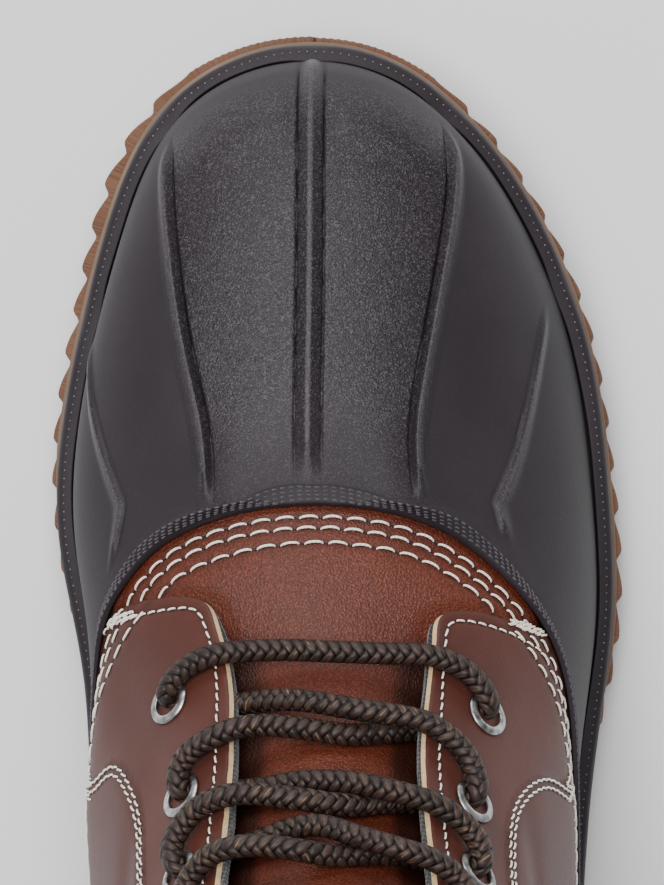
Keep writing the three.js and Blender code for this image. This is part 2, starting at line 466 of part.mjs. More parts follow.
// ---------- plates: outsole, midsole, insole ----------
// solid between two outlines that share their ends; heights depend on u only
function plate(medialSide, lateralSide, top, bottom) {
  const loop = [...medialSide, ...lateralSide.slice(1, -1).reverse()], n = loop.length;
  const v = [...loop.map((p) => new THREE.Vector3(p.x, p.y, bottom(p))), ...loop.map((p) => new THREE.Vector3(p.x, p.y, top(p)))];
  const t = [], M = medialSide.length, latId = (j) => (j === 0 ? 0 : j === lateralSide.length - 1 ? M - 1 : n - j);
  let i = 0, j = 0;
  while (i < M - 1 || j < lateralSide.length - 1) {
    const a = i, b = latId(j), stepMedial = j >= lateralSide.length - 1 || (i < M - 1 && medialSide[i + 1].y <= lateralSide[j + 1].y);
    const c = stepMedial ? ++i : latId(++j);
    if (a === b || b === c || a === c) continue;
    t.push([a, b, c], [c + n, b + n, a + n]);
  }
  for (let k = 0; k < n; k++) { const q = (k + 1) % n; t.push([k, q, q + n], [k, q + n, k + n]); }
  return toManifold(fromTriangles(v, t));
}
const uOf = (p) => p.y + BOOT_LENGTH / 2;
// outline beyond the rim line by a distance, one side from toe to heel
function outline(side, count, out) {
  const pts = [];
  for (let i = 0; i <= count; i++) {
    const turn = (180 * i) / count;
    pts.push(rimPoint(side === "medial" ? turn : 360 - turn, out(form(0, side === "medial" ? turn : 360 - turn).y + BOOT_LENGTH / 2, side), 0));
  }
  return pts;
}
const rimUnder = (add) => (p) => rimHeight(uOf(p)) + add;
{
  const wide = (u, side) => RIM_PROUD + Math.min(Math.max(outsoleEdge[side](u) - 0.9, 0.1), 0.6);
  add("midsole", toGeometry(plate(outline("medial", 30, wide), outline("lateral", 30, wide), rimUnder(MIDSOLE_TOP), rimUnder(MIDSOLE_BOTTOM))), COLOURS.midsole);
  const narrow = () => -RUBBER_WALL - 0.8;
  add("insole", toGeometry(plate(outline("medial", 24, narrow), outline("lateral", 24, narrow),
    rimUnder(MIDSOLE_TOP + 0.3 + INSOLE_THICK), rimUnder(MIDSOLE_TOP + 0.3))), COLOURS.insole);
}
{
  const underside = (p) => {
    const u = uOf(p);
    if (u < TOE_SPRING_LENGTH) return TOE_SPRING * Math.pow(1 - u / TOE_SPRING_LENGTH, 2);
    if (u > ARCH_FROM && u < ARCH_TO) return ARCH_RISE * Math.pow(Math.sin((Math.PI * (u - ARCH_FROM)) / (ARCH_TO - ARCH_FROM)), 2);
    return 0;
  };
  // saw teeth along the sides: gradual outwards, then a short step back in towards the heel
  const toothed = (side) => {
    const fine = outline(side, 400, (u, s) => RIM_PROUD + outsoleEdge[s](u));
    let run = 0, next = 26;
    const pts = [fine[0]], total = fine.reduce((s, p, i) => s + (i ? p.distanceTo(fine[i - 1]) : 0), 0);
    const at = (i, depth) => {
      const a = fine[Math.max(i - 3, 0)], b = fine[Math.min(i + 3, fine.length - 1)], s = side === "medial" ? 1 : -1;
      const nx = b.y - a.y, ny = -(b.x - a.x), n = Math.hypot(nx, ny);
      return new THREE.Vector3(fine[i].x - (s * nx * depth) / n, fine[i].y - (s * ny * depth) / n, 0);
    };
    let toe = 6.5;
    for (let i = 1; i < fine.length - 1; i++) {
      run += fine[i].distanceTo(fine[i - 1]);
      if (run < 24) { if (run > toe) { pts.push(at(i, 0)); toe += 6; } continue; }
      if (total - run < 30) { if (run > next) { pts.push(at(i, 0)); next = run + 5; } continue; }
      if (run >= next) { pts.push(at(i, 0)); pts.push(at(Math.min(i + 3, fine.length - 2), LUG_DEPTH)); next += LUG_PITCH; }
    }
    pts.push(fine[fine.length - 1]);
    // both sides have to run steadily from toe to heel
    return pts.filter((p, k) => k === 0 || p.y > pts[k - 1].y + 0.02);
  };
  let solid = plate(toothed("medial"), toothed("lateral"), rimUnder(OUTSOLE_TOP), underside);
  for (const g of GROOVES) {
    const y = g.u - BOOT_LENGTH / 2, level = underside({ y }) + GROOVE_DEEP;
    const cut = new THREE.BoxGeometry(2 * g.half, GROOVE_WIDE, 20);
    cut.translate(middle(g.u) - MID_X, y, level - 10);
    solid = solid.subtract(toManifold(cut));
  }
  add("outsole", toGeometry(solid), COLOURS.outsole);
}

export default group;
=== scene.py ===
import math

import bpy
import numpy as np
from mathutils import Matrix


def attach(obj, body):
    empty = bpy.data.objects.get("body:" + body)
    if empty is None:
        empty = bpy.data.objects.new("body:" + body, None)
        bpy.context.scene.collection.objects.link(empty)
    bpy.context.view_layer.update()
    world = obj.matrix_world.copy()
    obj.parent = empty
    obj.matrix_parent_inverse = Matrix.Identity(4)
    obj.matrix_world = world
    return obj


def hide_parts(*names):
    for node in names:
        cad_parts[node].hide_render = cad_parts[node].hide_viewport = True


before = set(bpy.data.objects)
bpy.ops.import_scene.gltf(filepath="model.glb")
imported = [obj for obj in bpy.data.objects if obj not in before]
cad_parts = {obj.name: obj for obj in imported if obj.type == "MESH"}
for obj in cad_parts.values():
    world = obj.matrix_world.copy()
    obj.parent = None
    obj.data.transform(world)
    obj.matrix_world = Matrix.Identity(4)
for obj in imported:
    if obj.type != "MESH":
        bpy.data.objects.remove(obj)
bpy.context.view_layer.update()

# Lace-up duck boot for the right foot: the looks. Sizes are millimetres until a mesh is made.
# u is the distance behind the toe tip, so y = u - HALF_LENGTH; +X is the inner side.

# ---------- sizes ----------
HALF_LENGTH = 153.0
MID_X = -1.08
TOP_HALF_WIDTH = 38.5
BALL_LEVEL, TOP_LEVEL = 62.0, 195.0
FRONT_ROUNDING, BACK_ROUNDING = 58.0, 39.0
SIDE_POWER, TOP_POWER = 2.45, 2.08
RUBBER_WALL = 2.5
RIM_PROUD = 3.3
BAND_TOP_PROUD = 0.8
TUCK = 3.0
LEATHER_FACE = -0.9
QUARTER_LEATHER = 1.25
QUARTER_WALL = 2.2
VAMP_FACE, VAMP_LAPPED, VAMP_WALL = -1.1, -4.0, 1.9
TONGUE_CREST, TONGUE_SIDE = -7.0, -8.4
LUG_PITCH = 8.5
WEDGE_PITCH = 1.65
LACE_R = 2.1
LACE_IN_HOLE = .7
BRAID_STRANDS, BRAID_PITCH = 4, 2.2
THREAD_R = 0.3


def table(names, *rows):
    return {n: np.array([r[i] for r in rows], float) for i, n in enumerate(names.split())}


CREST_LINE = table("u z", (5.4, 20), (5.5, 29), (6.4, 36.5), (8.9, 43), (13.7, 48.6), (21.5, 53.2), (34, 57.4), (50, 60.7), (68, 63.8),
                   (84, 67.3), (96, 71.8), (110, 80.2), (127, 94), (143, 111), (157, 131), (167, 152), (173, 173), (176.5, 196), (178.5, 215))
HEEL_LINE = table("u z", (300.6, 16), (301.2, 34), (300.4, 52), (298, 72), (294.6, 95), (291.6, 118), (290.4, 142), (291, 168), (293, 196), (295, 215))
RIM_HEIGHT = table("u z", (0, 27.5), (20, 23.6), (45, 20), (85, 17.2), (130, 17), (175, 18.4), (225, 21), (306, 24))
MIDDLE_LINE = table("u x", (0, 3.9), (60, 3.7), (90, 3.5), (115, 1.4), (140, .9), (180, -.3), (240, -1.2), (306, -1.5))
SEAT_WIDTH = table("u medial lateral", (0, 40.5, 38.6), (14, 41.5, 39.6), (25, 41.4, 42.6), (40, 42.2, 47.2), (58, 44.6, 52.2), (80, 47.6, 55.6),
                   (103, 48.9, 55.6), (128, 45.6, 52.8), (154, 44.4, 49), (180, 43.6, 46.2), (215, 40.4, 42), (250, 38.2, 39.2), (280, 37, 37.6), (306, 36.4, 36.6))
MIDDLE_WIDTH = table("u medial lateral", (0, 40, 38), (25, 42.6, 43.5), (60, 51.4, 48), (90, 52.6, 53.6), (110, 51.6, 53.6), (130, 50, 51.8),
                     (150, 49, 50.4), (175, 47.2, 48.6), (200, 44.6, 46.2), (230, 41, 42.6), (260, 38.6, 39.8), (306, 37, 38))
SHELL_EDGE_MEDIAL = table("u z", (93.2, 70.5), (95.4, 69), (101, 65.4), (107.8, 62), (114.7, 58), (122, 54.8), (132, 51.6), (150, 49.2), (180, 49.2), (225, 53), (270, 58.5), (303, 61))
SHELL_EDGE_LATERAL = table("u z", (93.2, 70.5), (96, 68.8), (100, 67.3), (106.8, 65.2), (112.6, 63), (118, 60.4), (126, 56.6), (138, 52.6), (155, 50), (180, 49.7), (225, 53), (270, 58.5), (303, 61))
COLLAR_LINE = table("u z", (150, 188), (170, 187), (200, 184), (235, 181.6), (270, 182.6), (300, 185))
TONGUE_EDGE = table("level turn", (.88, 60), (1, 56), (1.1, 46), (1.2, 44), (1.4, 47), (1.6, 49), (1.8, 46), (2, 42), (2.1, 40))
EYELETS = table("side level turn", (1, 1.192, 31.4), (1, 1.335, 34.6), (1, 1.445, 39.6), (1, 1.6, 40.4), (1, 1.78, 41),
                (-1, 1.213, 31.2), (-1, 1.353, 33.7), (-1, 1.46, 37.7), (-1, 1.625, 39.6), (-1, 1.8, 41))
# collar band of the shell: height along the surface, how far its lower edge stands off the form
BAND = table("turn height proud", (0, 3.8, 1.4), (4, 4.4, 1.4), (8, 6, 1.5), (12, 7.4, 2.1), (16, 7.4, 3), (20, 6.8, 3.3), (24, 6.5, 2.9), (28, 6.5, 2), (32, 6.1, 1.5),
             (36, 5.7, 1), (40, 5.2, .7), (48, 5, .6), (62, 5, .7), (90, 5.6, 1.1), (180, 5.6, 1.2))
# cut edge of the quarters' leather at the throat, and the lining's edge beyond it
CUT_EDGE = table("level medial lateral", (.88, 45, 46), (.98, 40.5, 42.4), (1.02, 33.4, 37.9), (1.045, 28.3, 32.8), (1.07, 23.4, 27.5), (1.09, 20, 23.4), (1.11, 18.2, 20.3),
                 (1.135, 17.8, 18.8), (1.163, 18, 18.6), (1.2, 18.3, 18.6), (1.257, 19, 19.2), (1.3, 20.3, 19.8), (1.35, 21.8, 20.8), (1.405, 24.2, 22.6), (1.46, 26.5, 24.5),
                 (1.54, 30.2, 26.9), (1.65, 31, 28.6), (1.8, 30.4, 28.8), (2, 30, 29), (2.1, 30, 29))
LINING_EDGE = table("level medial lateral", (.88, 49, 50), (.98, 44.5, 46.4), (1.02, 37.4, 41.9), (1.045, 32.3, 36.8), (1.07, 26.9, 31.2), (1.09, 21.7, 25.8), (1.11, 18.2, 20.7),
                    (1.135, 17.1, 18), (1.163, 16.9, 17.5), (1.2, 17.4, 17.7), (1.257, 17.9, 18.3), (1.3, 19, 18.8), (1.35, 20.4, 19.8), (1.405, 22.5, 21.5), (1.46, 24.5, 23.1),
                    (1.54, 28, 25.3), (1.65, 28.9, 26.8), (1.8, 28.4, 27), (2, 28.1, 27.2), (2.1, 28.1, 27.2))
RIBS = table("start stop low mid high lit", (.05, .97, 0, .6, 1, 0), (.17, .93, 24.5, 26, 23.5, 1), (.17, .93, -21.5, -25, -22.5, -1),
             (.16, .84, 50, 48.2, 42.5, 1), (.16, .86, -46.5, -46.5, -37, -1))
OUTSOLE_EDGE = table("u medial lateral", (0, 1.7, 1.7), (19, 3, 2), (28, 3.4, 1.8), (53, 2.6, 1.8), (79, 1.8, 1.6), (95, .9, 1.9), (109, .5, 2), (125, .2, 1.6),
                     (141, 0, .2), (180, -.4, -.4), (215, .2, .2), (245, 1.4, 1.4), (306, 1.7, 1.7))
GROOVES = table("u half", (30, 24), (42, 31), (54, 36), (66, 40), (78, 42), (102, 43), (114, 42), (126, 40), (224, 28), (236, 27), (266, 25), (278, 22))
# seam of the back panel on each quarter
PANEL_SEAM = table("level medial lateral", (1.0, 62, 62), (1.06, 57.5, 58.5), (1.1, 54, 55), (1.145, 48.4, 50.4), (1.2, 45.5, 46), (1.25, 45, 43.6), (1.3, 46.2, 42.8),
                   (1.365, 49.6, 44.8), (1.45, 54.5, 49), (1.6, 61, 57), (1.8, 68, 65), (2.0, 73, 71), (2.1, 75, 73))
# stitch row along the front edge of a quarter: distance in from the edge
FACING_ROW = table("level inset", (1.0, 3.0), (1.06, 2.6), (1.1, 2.4), (1.16, 1.9), (1.24, 2.5), (1.35, 3.1), (1.5, 3.4), (2.1, 3.4))
SHELL_ROWS = (2.3, 4.6, 7.7)
# thread runs of the bar tack at the lower corner of each quarter, inner side first: level, turn
TACKS = ([(1.0, 41), (1.03, 33.6), (1.012, 38.6), (1.048, 31.6), (1.022, 36.6)], [(1.002, 41), (1.042, 34.8), (1.012, 39.6), (1.052, 32.6), (1.026, 37)])
# soft creases of the leather: place, heading in degrees from the turn direction, half length, half width, depth
CREASES = table("level turn heading long wide deep",
                (1.09, 4, 6, 13, 2.2, .06), (1.13, -6, -8, 10, 2, .05), (1.06, 13, -12, 8, 2, .04),
                (1.21, 2, 3, 16, 3.4, .35), (1.31, -1, 2, 16, 3.6, .35), (1.44, -3, -4, 15, 3.6, .35), (1.56, 1, 4, 15, 3.6, .3),
                (1.33, 62, 28, 24, 5, .8), (1.42, 70, 20, 26, 5.5, .9), (1.27, 82, 10, 26, 6, .7), (1.52, 88, 14, 30, 6.5, .7),
                (1.33, -62, -28, 24, 5, .8), (1.43, -71, -20, 26, 5.5, .9), (1.28, -83, -10, 26, 6, .7), (1.53, -90, -12, 30, 6.5, .7),
                (1.4, 176, 2, 30, 5, .6), (1.55, -178, -3, 30, 5, .5), (1.25, 140, 12, 22, 5, .5), (1.26, -142, -12, 22, 5, .5))


# ---------- curves and the form ----------
def spline(xs, ys):
    n = len(xs)
    h = np.diff(xs)
    a, r = np.zeros((n, n)), np.zeros(n)
    a[0, 0] = a[-1, -1] = 1
    for i in range(1, n - 1):
        a[i, i - 1], a[i, i], a[i, i + 1] = h[i - 1], 2 * (h[i - 1] + h[i]), h[i]
        r[i] = 6 * ((ys[i + 1] - ys[i]) / h[i] - (ys[i] - ys[i - 1]) / h[i - 1])
    m = np.linalg.solve(a, r)

    def f(x):
        q = np.clip(np.asarray(x, float), xs[0], xs[-1])
        i = np.clip(np.searchsorted(xs, q, side="right") - 1, 0, n - 2)
        d, hh = q - xs[i], h[i]
        b = (ys[i + 1] - ys[i]) / hh - hh * (2 * m[i] + m[i + 1]) / 6
        return ys[i] + d * (b + d * (m[i] / 2 + d * (m[i + 1] - m[i]) / (6 * hh)))
    return f


def curve(t, key, at="u"):
    return spline(t[at], t[key])


def smooth(a, b, x):
    q = np.clip((np.asarray(x, float) - a) / (b - a), 0, 1)
    return q * q * (3 - 2 * q)


def mix(a, b, k):
    return a + (b - a) * k


def side_line(t, n=1600):
    d = np.concatenate([[0], np.cumsum(np.hypot(np.diff(t["u"]), np.diff(t["z"])))])
    s = np.linspace(0, d[-1], n)
    return spline(d, t["u"])(s), spline(d, t["z"])(s), s


cu, cz, cs = side_line(CREST_LINE)
bu, bz, bs = side_line(HEEL_LINE)
cu = np.maximum.accumulate(cu + 1e-6 * np.arange(len(cu)))
cz = np.maximum.accumulate(cz)
rim_height, middle = curve(RIM_HEIGHT, "z"), curve(MIDDLE_LINE, "x")
seat = [curve(SEAT_WIDTH, "medial"), curve(SEAT_WIDTH, "lateral")]
mid_width = [curve(MIDDLE_WIDTH, "medial"), curve(MIDDLE_WIDTH, "lateral")]
shell_edge = [curve(SHELL_EDGE_MEDIAL, "z"), curve(SHELL_EDGE_LATERAL, "z")]
collar = curve(COLLAR_LINE, "z")
tongue_edge = curve(TONGUE_EDGE, "turn", "level")
cut_edge_turn = [curve(CUT_EDGE, "medial", "level"), curve(CUT_EDGE, "lateral", "level")]
lining_edge_turn = [curve(LINING_EDGE, "medial", "level"), curve(LINING_EDGE, "lateral", "level")]
band_height, band_proud = curve(BAND, "height", "turn"), curve(BAND, "proud", "turn")
panel_seam = [curve(PANEL_SEAM, "medial", "level"), curve(PANEL_SEAM, "lateral", "level")]
outsole_edge = [curve(OUTSOLE_EDGE, "medial"), curve(OUTSOLE_EDGE, "lateral")]
RIM_Z, EDGE_Z, COLLAR_Z = (27.0, 24.0), (70.5, 61.0), (187.0, 184.6)
RUNS = [float(np.interp(z, cz, cs)) for z in (RIM_Z[0], EDGE_Z[0], COLLAR_Z[0])]


def rounded(m):
    return (1 - (1 - np.clip(m, 0, 1)) ** SIDE_POWER) ** (1 / TOP_POWER)


def half_width(u, z, side):
    low = rim_height(u)
    w = mix(seat[side](u), mid_width[side](u), smooth(0, 1, (z - low) / (BALL_LEVEL - low)))
    w = mix(w, TOP_HALF_WIDTH, smooth(0, 1, (z - BALL_LEVEL) / (TOP_LEVEL - BALL_LEVEL)))
    crest = np.where(u > cu[-1], cz[-1] + (u - cu[-1]) * 9.5, np.interp(u, cu, cz))
    tall, below = np.maximum(crest - low, 1e-6), np.maximum(crest - z, 1e-9)
    behind = np.maximum(u - np.interp(z, cz, cu), 1e-9)
    m = 1 / np.sqrt((tall / below) ** 2 + (FRONT_ROUNDING / behind) ** 2)
    return w * rounded(m) * rounded(np.maximum(np.interp(z, bz, bu) - u, 0) / BACK_ROUNDING)


# level 0 rim line, 1 shell edge, 2 collar; turn in degrees from the crest, medial side first
def form(level, turn):
    w, t = np.broadcast_arrays(np.asarray(level, float), np.asarray(turn, float))
    a = np.radians(t)
    s = (1 - np.cos(a)) / 2
    lower = w <= 1
    k = np.where(lower, w, w - 1)
    run = np.where(lower, mix(RUNS[0], RUNS[1], k), mix(RUNS[1], RUNS[2], k))
    fu, fz = np.interp(run, cs, cu), np.interp(run, cs, cz)
    hz = np.where(lower, mix(RIM_Z[1], EDGE_Z[1], k), mix(EDGE_Z[1], COLLAR_Z[1], k))
    hu = np.interp(hz, bz, bu)
    u = mix(fu, hu, s)
    med = np.sin(a) >= 0

    def line(v):
        b = np.where(med, shell_edge[0](v), shell_edge[1](v))
        return np.where(lower, mix(rim_height(v), b, k), mix(b, collar(v), k))
    z = line(u) + (fz - line(fu)) * (1 - s) ** 3.2 + (hz - line(hu)) * s ** 3
    hw = np.where(med, half_width(u, z, 0), half_width(u, z, 1))
    x = middle(u) + np.where(med, hw, -hw)
    return np.stack([x - MID_X, u - HALF_LENGTH, z], -1)


def unit(v):
    return v / np.maximum(np.linalg.norm(v, axis=-1, keepdims=True), 1e-12)


def outward(level, turn):
    w, t = np.broadcast_arrays(np.asarray(level, float), np.asarray(turn, float))
    along = form(w, t + 1.5) - form(w, t - 1.5)
    low = np.where((w < 1) & (w > .985), .97, w - .012)
    high = np.where(w < 1, np.minimum(w + .012, 1), w + .012)
    low = np.where((low < 1) & (w >= 1), 1, np.maximum(low, 0))
    return unit(np.cross(along, form(high, t) - form(low, t)))


def skin(level, turn, off):
    return form(level, turn) + outward(level, turn) * np.asarray(off, float)[..., None]


def edge_level(turn, above):
    step = np.where(np.asarray(above, float) < 0, -.04, .04)
    speed = np.linalg.norm(form(1 + step, turn) - form(1, turn), axis=-1) / .04
    return 1 + above / speed


def per_degree(level, turn):
    return np.linalg.norm(form(level, np.asarray(turn) + .5) - form(level, np.asarray(turn) - .5), axis=-1)


def per_level(level, turn):
    level = np.asarray(level, float)
    a = np.where(level < 1, level - .02, level)
    return np.linalg.norm(form(a + .02, turn) - form(a, turn), axis=-1) / .02


def rim_point(turn, out, up):
    turn = np.asarray(turn, float)
    d = form(0, turn + 2) - form(0, turn - 2)
    n = np.stack([d[..., 1], -d[..., 0]], -1)
    n /= np.linalg.norm(n, axis=-1, keepdims=True)
    p = form(0, turn)
    return np.stack([p[..., 0] + n[..., 0] * out, p[..., 1] + n[..., 1] * out, p[..., 2] + up], -1)


def quarter_swell(turn):
    """Where the quarters bulge out over the band, mostly on the inner side."""
    t = (np.asarray(turn) + 180) % 360 - 180
    a = np.abs(t)
    return smooth(38, 50, a) * smooth(110, 78, a) * np.where(t > 0, 1, .45)


# ---------- meshes ----------
class Part:
    """Vertices in millimetres, faces of 3 or 4 corners, a UV for each corner, a material number for each face, named values at each vertex."""

    def __init__(self):
        self.v, self.f, self.n = [], [], 0
        self.values = {}

    def add(self, verts, faces, uvs=None, number=0, **values):
        verts = np.asarray(verts, float).reshape(-1, 3)
        faces = np.asarray(faces, int)
        uvs = np.zeros(faces.shape + (2,)) if uvs is None else np.asarray(uvs, float)
        self.f.append((faces + self.n, uvs, np.broadcast_to(number, (len(faces),))))
        self.v.append(verts)
        for k in set(self.values) | set(values):
            have = self.values.setdefault(k, [])
            have.append((self.n, np.broadcast_to(np.asarray(values[k], float).reshape(-1), (len(verts),)) if k in values else np.zeros(len(verts))))
        self.n += len(verts)

    def grid(self, points, wrap=False, close=False, flip=False, uv=None, number=0, **values):
        rows, cols = points.shape[:2]
        idx = np.arange(rows * cols).reshape(rows, cols)
        if wrap:
            idx = np.concatenate([idx, idx[:, :1]], 1)
            if uv is not None and uv.shape[1] == cols:
                uv = np.concatenate([uv, uv[:, :1]], 1)
        if close:
            idx = np.concatenate([idx, idx[:1]], 0)
            if uv is not None and uv.shape[0] == rows:
                uv = np.concatenate([uv, uv[:1]], 0)
        f = np.stack([idx[:-1, :-1], idx[:-1, 1:], idx[1:, 1:], idx[1:, :-1]], -1).reshape(-1, 4)
        t = None
        if uv is not None:
            t = np.stack([uv[:-1, :-1], uv[:-1, 1:], uv[1:, 1:], uv[1:, :-1]], 2).reshape(-1, 4, 2)
        if flip:
            f = f[:, ::-1]
            t = None if t is None else t[:, ::-1]
        if np.ndim(number) == 2:
            number = np.asarray(number).reshape(-1)
        self.add(points.reshape(-1, 3), f, t, number, **values)
        return self

    def sheet(self, outer, inner, uv=None, edge_number=0, number=0, inner_number=None, **values):
        """A wall between two grids, turn along the columns and level up the rows, with its four narrow faces."""
        rows, cols = outer.shape[:2]
        n = rows * cols
        idx = np.arange(n).reshape(rows, cols)
        quad = lambda i: np.stack([i[:-1, :-1], i[:-1, 1:], i[1:, 1:], i[1:, :-1]], -1).reshape(-1, 4)
        uv = np.zeros((rows, cols, 2)) if uv is None else uv
        tuv = np.stack([uv[:-1, :-1], uv[:-1, 1:], uv[1:, 1:], uv[1:, :-1]], 2).reshape(-1, 4, 2)
        flat = uv.reshape(-1, 2)
        faces, uvs, nums = [quad(idx), quad(idx)[:, ::-1] + n], [tuv, tuv[:, ::-1]], [number, number if inner_number is None else inner_number]
        ring = [idx[0, ::-1], idx[-1, :], idx[:, 0], idx[::-1, -1]]
        for e in ring:
            f = np.stack([e[:-1], e[1:], e[1:] + n, e[:-1] + n], -1)[:, ::-1]
            faces.append(f)
            uvs.append(flat[f % n])
            nums.append(edge_number)
        f = np.concatenate(faces)
        m = np.concatenate([np.broadcast_to(k, (len(a),)) for k, a in zip(nums, faces)])
        vals = {k: np.concatenate([np.broadcast_to(v, (rows, cols)).reshape(-1)] * 2) for k, v in values.items()}
        self.add(np.concatenate([outer.reshape(-1, 3), inner.reshape(-1, 3)]), f, np.concatenate(uvs), m, **vals)
        return self


def build(name, part, materials, replaces=(), sharp=None):
    me = bpy.data.meshes.new(name)
    v = np.concatenate(part.v) * .001
    me.vertices.add(len(v))
    me.vertices.foreach_set("co", v.astype(np.float32).ravel())
    sizes = np.concatenate([np.full(len(f), f.shape[1]) for f, _, _ in part.f])
    corners = np.concatenate([f.ravel() for f, _, _ in part.f])
    uvs = np.concatenate([u.reshape(-1, 2) for _, u, _ in part.f])
    me.loops.add(len(corners))
    me.loops.foreach_set("vertex_index", corners.astype(np.int32))
    me.polygons.add(len(sizes))
    me.polygons.foreach_set("loop_start", np.concatenate([[0], np.cumsum(sizes)[:-1]]).astype(np.int32))
    me.polygons.foreach_set("material_index", np.concatenate([m for _, _, m in part.f]).astype(np.int32))
    me.polygons.foreach_set("use_smooth", np.ones(len(sizes), bool))
    layer = me.uv_layers.new(name="UVMap")
    layer.data.foreach_set("uv", uvs.astype(np.float32).ravel())
    for key, runs in part.values.items():
        out = np.zeros(len(v), np.float32)
        for start, vals in runs:
            out[start:start + len(vals)] = vals
        me.attributes.new(key, "FLOAT", "POINT").data.foreach_set("value", out)
    me.update(calc_edges=True)
    me.validate()
    if sharp:
        me.set_sharp_from_angle(angle=math.radians(sharp))
    for m in materials if isinstance(materials, (list, tuple)) else [materials]:
        me.materials.append(m)
    ob = bpy.data.objects.new(name, me)
    bpy.context.scene.collection.objects.link(ob)
    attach(ob, "root")
    if replaces:
        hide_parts(*replaces)
    return ob


# ---------- materials ----------
class Sock:
    """A shader socket with arithmetic."""

    def __init__(self, tree, out):
        self.tree, self.out = tree, out

    def op(self, kind, *others, clamp=False):
        n = self.tree.nodes.new("ShaderNodeMath")
        n.operation, n.use_clamp = kind, clamp
        for i, v in enumerate((self,) + others):
            plug(self.tree, v, n.inputs[i])
        return Sock(self.tree, n.outputs[0])

    def __add__(self, o): return self.op("ADD", o)
    def __radd__(self, o): return self.op("ADD", o)
    def __sub__(self, o): return self.op("SUBTRACT", o)
    def __rsub__(self, o): return (self * -1) + o
    def __mul__(self, o): return self.op("MULTIPLY", o)
    def __rmul__(self, o): return self.op("MULTIPLY", o)
    def __truediv__(self, o): return self.op("DIVIDE", o)
    def floor(self): return self.op("FLOOR")
    def fract(self): return self.op("FRACT")
    def sin(self): return self.op("SINE")
    def abs(self): return self.op("ABSOLUTE")
    def power(self, p): return self.op("POWER", p)
    def less(self, v): return self.op("LESS_THAN", v)
    def maximum(self, v): return self.op("MAXIMUM", v)
    def minimum(self, v): return self.op("MINIMUM", v)

    def ramp(self, lo, hi, a=0.0, b=1.0):
        n = self.tree.nodes.new("ShaderNodeMapRange")
        n.interpolation_type = "SMOOTHSTEP"
        plug(self.tree, self, n.inputs[0])
        for i, v in zip((1, 2, 3, 4), (lo, hi, a, b)):
            n.inputs[i].default_value = v
        return Sock(self.tree, n.outputs[0])


def plug(tree, value, socket):
    if isinstance(value, Sock):
        tree.links.new(value.out, socket)
    elif isinstance(value, (tuple, list)) and len(value) == 3 and socket.type == "RGBA":
        socket.default_value = (*value, 1)
    else:
        socket.default_value = value


def srgb(r, g, b):
    return tuple(c / 255 / 12.92 if c / 255 <= .04045 else ((c / 255 + .055) / 1.055) ** 2.4 for c in (r, g, b))


class Look:
    """A procedural material: a Principled shader with helpers for patterns measured in millimetres."""

    def __init__(self, name, **sockets):
        self.mat = bpy.data.materials.new(name)
        self.mat.use_nodes = True
        self.tree = self.mat.node_tree
        self.tree.nodes.clear()
        out = self.node("ShaderNodeOutputMaterial")
        self.bsdf = self.node("ShaderNodeBsdfPrincipled")
        self.tree.links.new(self.bsdf.outputs[0], out.inputs[0])
        self.coords = self.node("ShaderNodeTexCoord")
        self.last = None
        for k, v in sockets.items():
            self.set(k.replace("_", " "), v)

    def node(self, kind, **props):
        n = self.tree.nodes.new(kind)
        for k, v in props.items():
            setattr(n, k, v)
        return n

    def set(self, name, value):
        plug(self.tree, value, self.bsdf.inputs[name])
        return self

    def mm(self, sx=1.0, sy=1.0, sz=1.0):
        n = self.node("ShaderNodeMapping")
        self.tree.links.new(self.coords.outputs["Object"], n.inputs[0])
        n.inputs["Scale"].default_value = (1000 * sx, 1000 * sy, 1000 * sz)
        return Sock(self.tree, n.outputs[0])

    def uv(self, su=1.0, sv=1.0):
        n = self.node("ShaderNodeMapping")
        self.tree.links.new(self.coords.outputs["UV"], n.inputs[0])
        n.inputs["Scale"].default_value = (su, sv, 1)
        return Sock(self.tree, n.outputs[0])

    def split(self, vec):
        n = self.node("ShaderNodeSeparateXYZ")
        plug(self.tree, vec, n.inputs[0])
        return [Sock(self.tree, o) for o in n.outputs]

    def join(self, x, y, z=0.0):
        n = self.node("ShaderNodeCombineXYZ")
        for i, v in enumerate((x, y, z)):
            plug(self.tree, v, n.inputs[i])
        return Sock(self.tree, n.outputs[0])

    def value(self, name):
        n = self.node("ShaderNodeAttribute", attribute_name=name)
        return Sock(self.tree, n.outputs["Fac"])

    def noise(self, vec, size, detail=2.0, rough=.5, distort=0.0):
        n = self.node("ShaderNodeTexNoise")
        plug(self.tree, vec, n.inputs["Vector"])
        n.inputs["Scale"].default_value = 1 / size
        n.inputs["Detail"].default_value = detail
        n.inputs["Roughness"].default_value = rough
        n.inputs["Distortion"].default_value = distort
        return Sock(self.tree, n.outputs[0])

    def cells(self, vec, size, feature="F1", soft=None, out="Distance"):
        n = self.node("ShaderNodeTexVoronoi", feature=feature)
        plug(self.tree, vec, n.inputs["Vector"])
        n.inputs["Scale"].default_value = 1 / size
        if soft is not None and feature == "SMOOTH_F1":
            n.inputs["Smoothness"].default_value = soft
        return Sock(self.tree, n.outputs[out])

    def blend(self, k, a, b, kind="MIX"):
        n = self.node("ShaderNodeMix", data_type="RGBA", blend_type=kind)
        plug(self.tree, k, n.inputs[0])
        plug(self.tree, a, n.inputs[6])
        plug(self.tree, b, n.inputs[7])
        return Sock(self.tree, n.outputs[2])

    def bump(self, height, deep):
        """height 0 to 1, deep in millimetres"""
        n = self.node("ShaderNodeBump")
        n.inputs["Strength"].default_value = 1
        n.inputs["Distance"].default_value = deep * .001
        plug(self.tree, height, n.inputs["Height"])
        if self.last:
            self.tree.links.new(self.last, n.inputs["Normal"])
        self.last = n.outputs[0]
        self.tree.links.new(self.last, self.bsdf.inputs["Normal"])
        return self


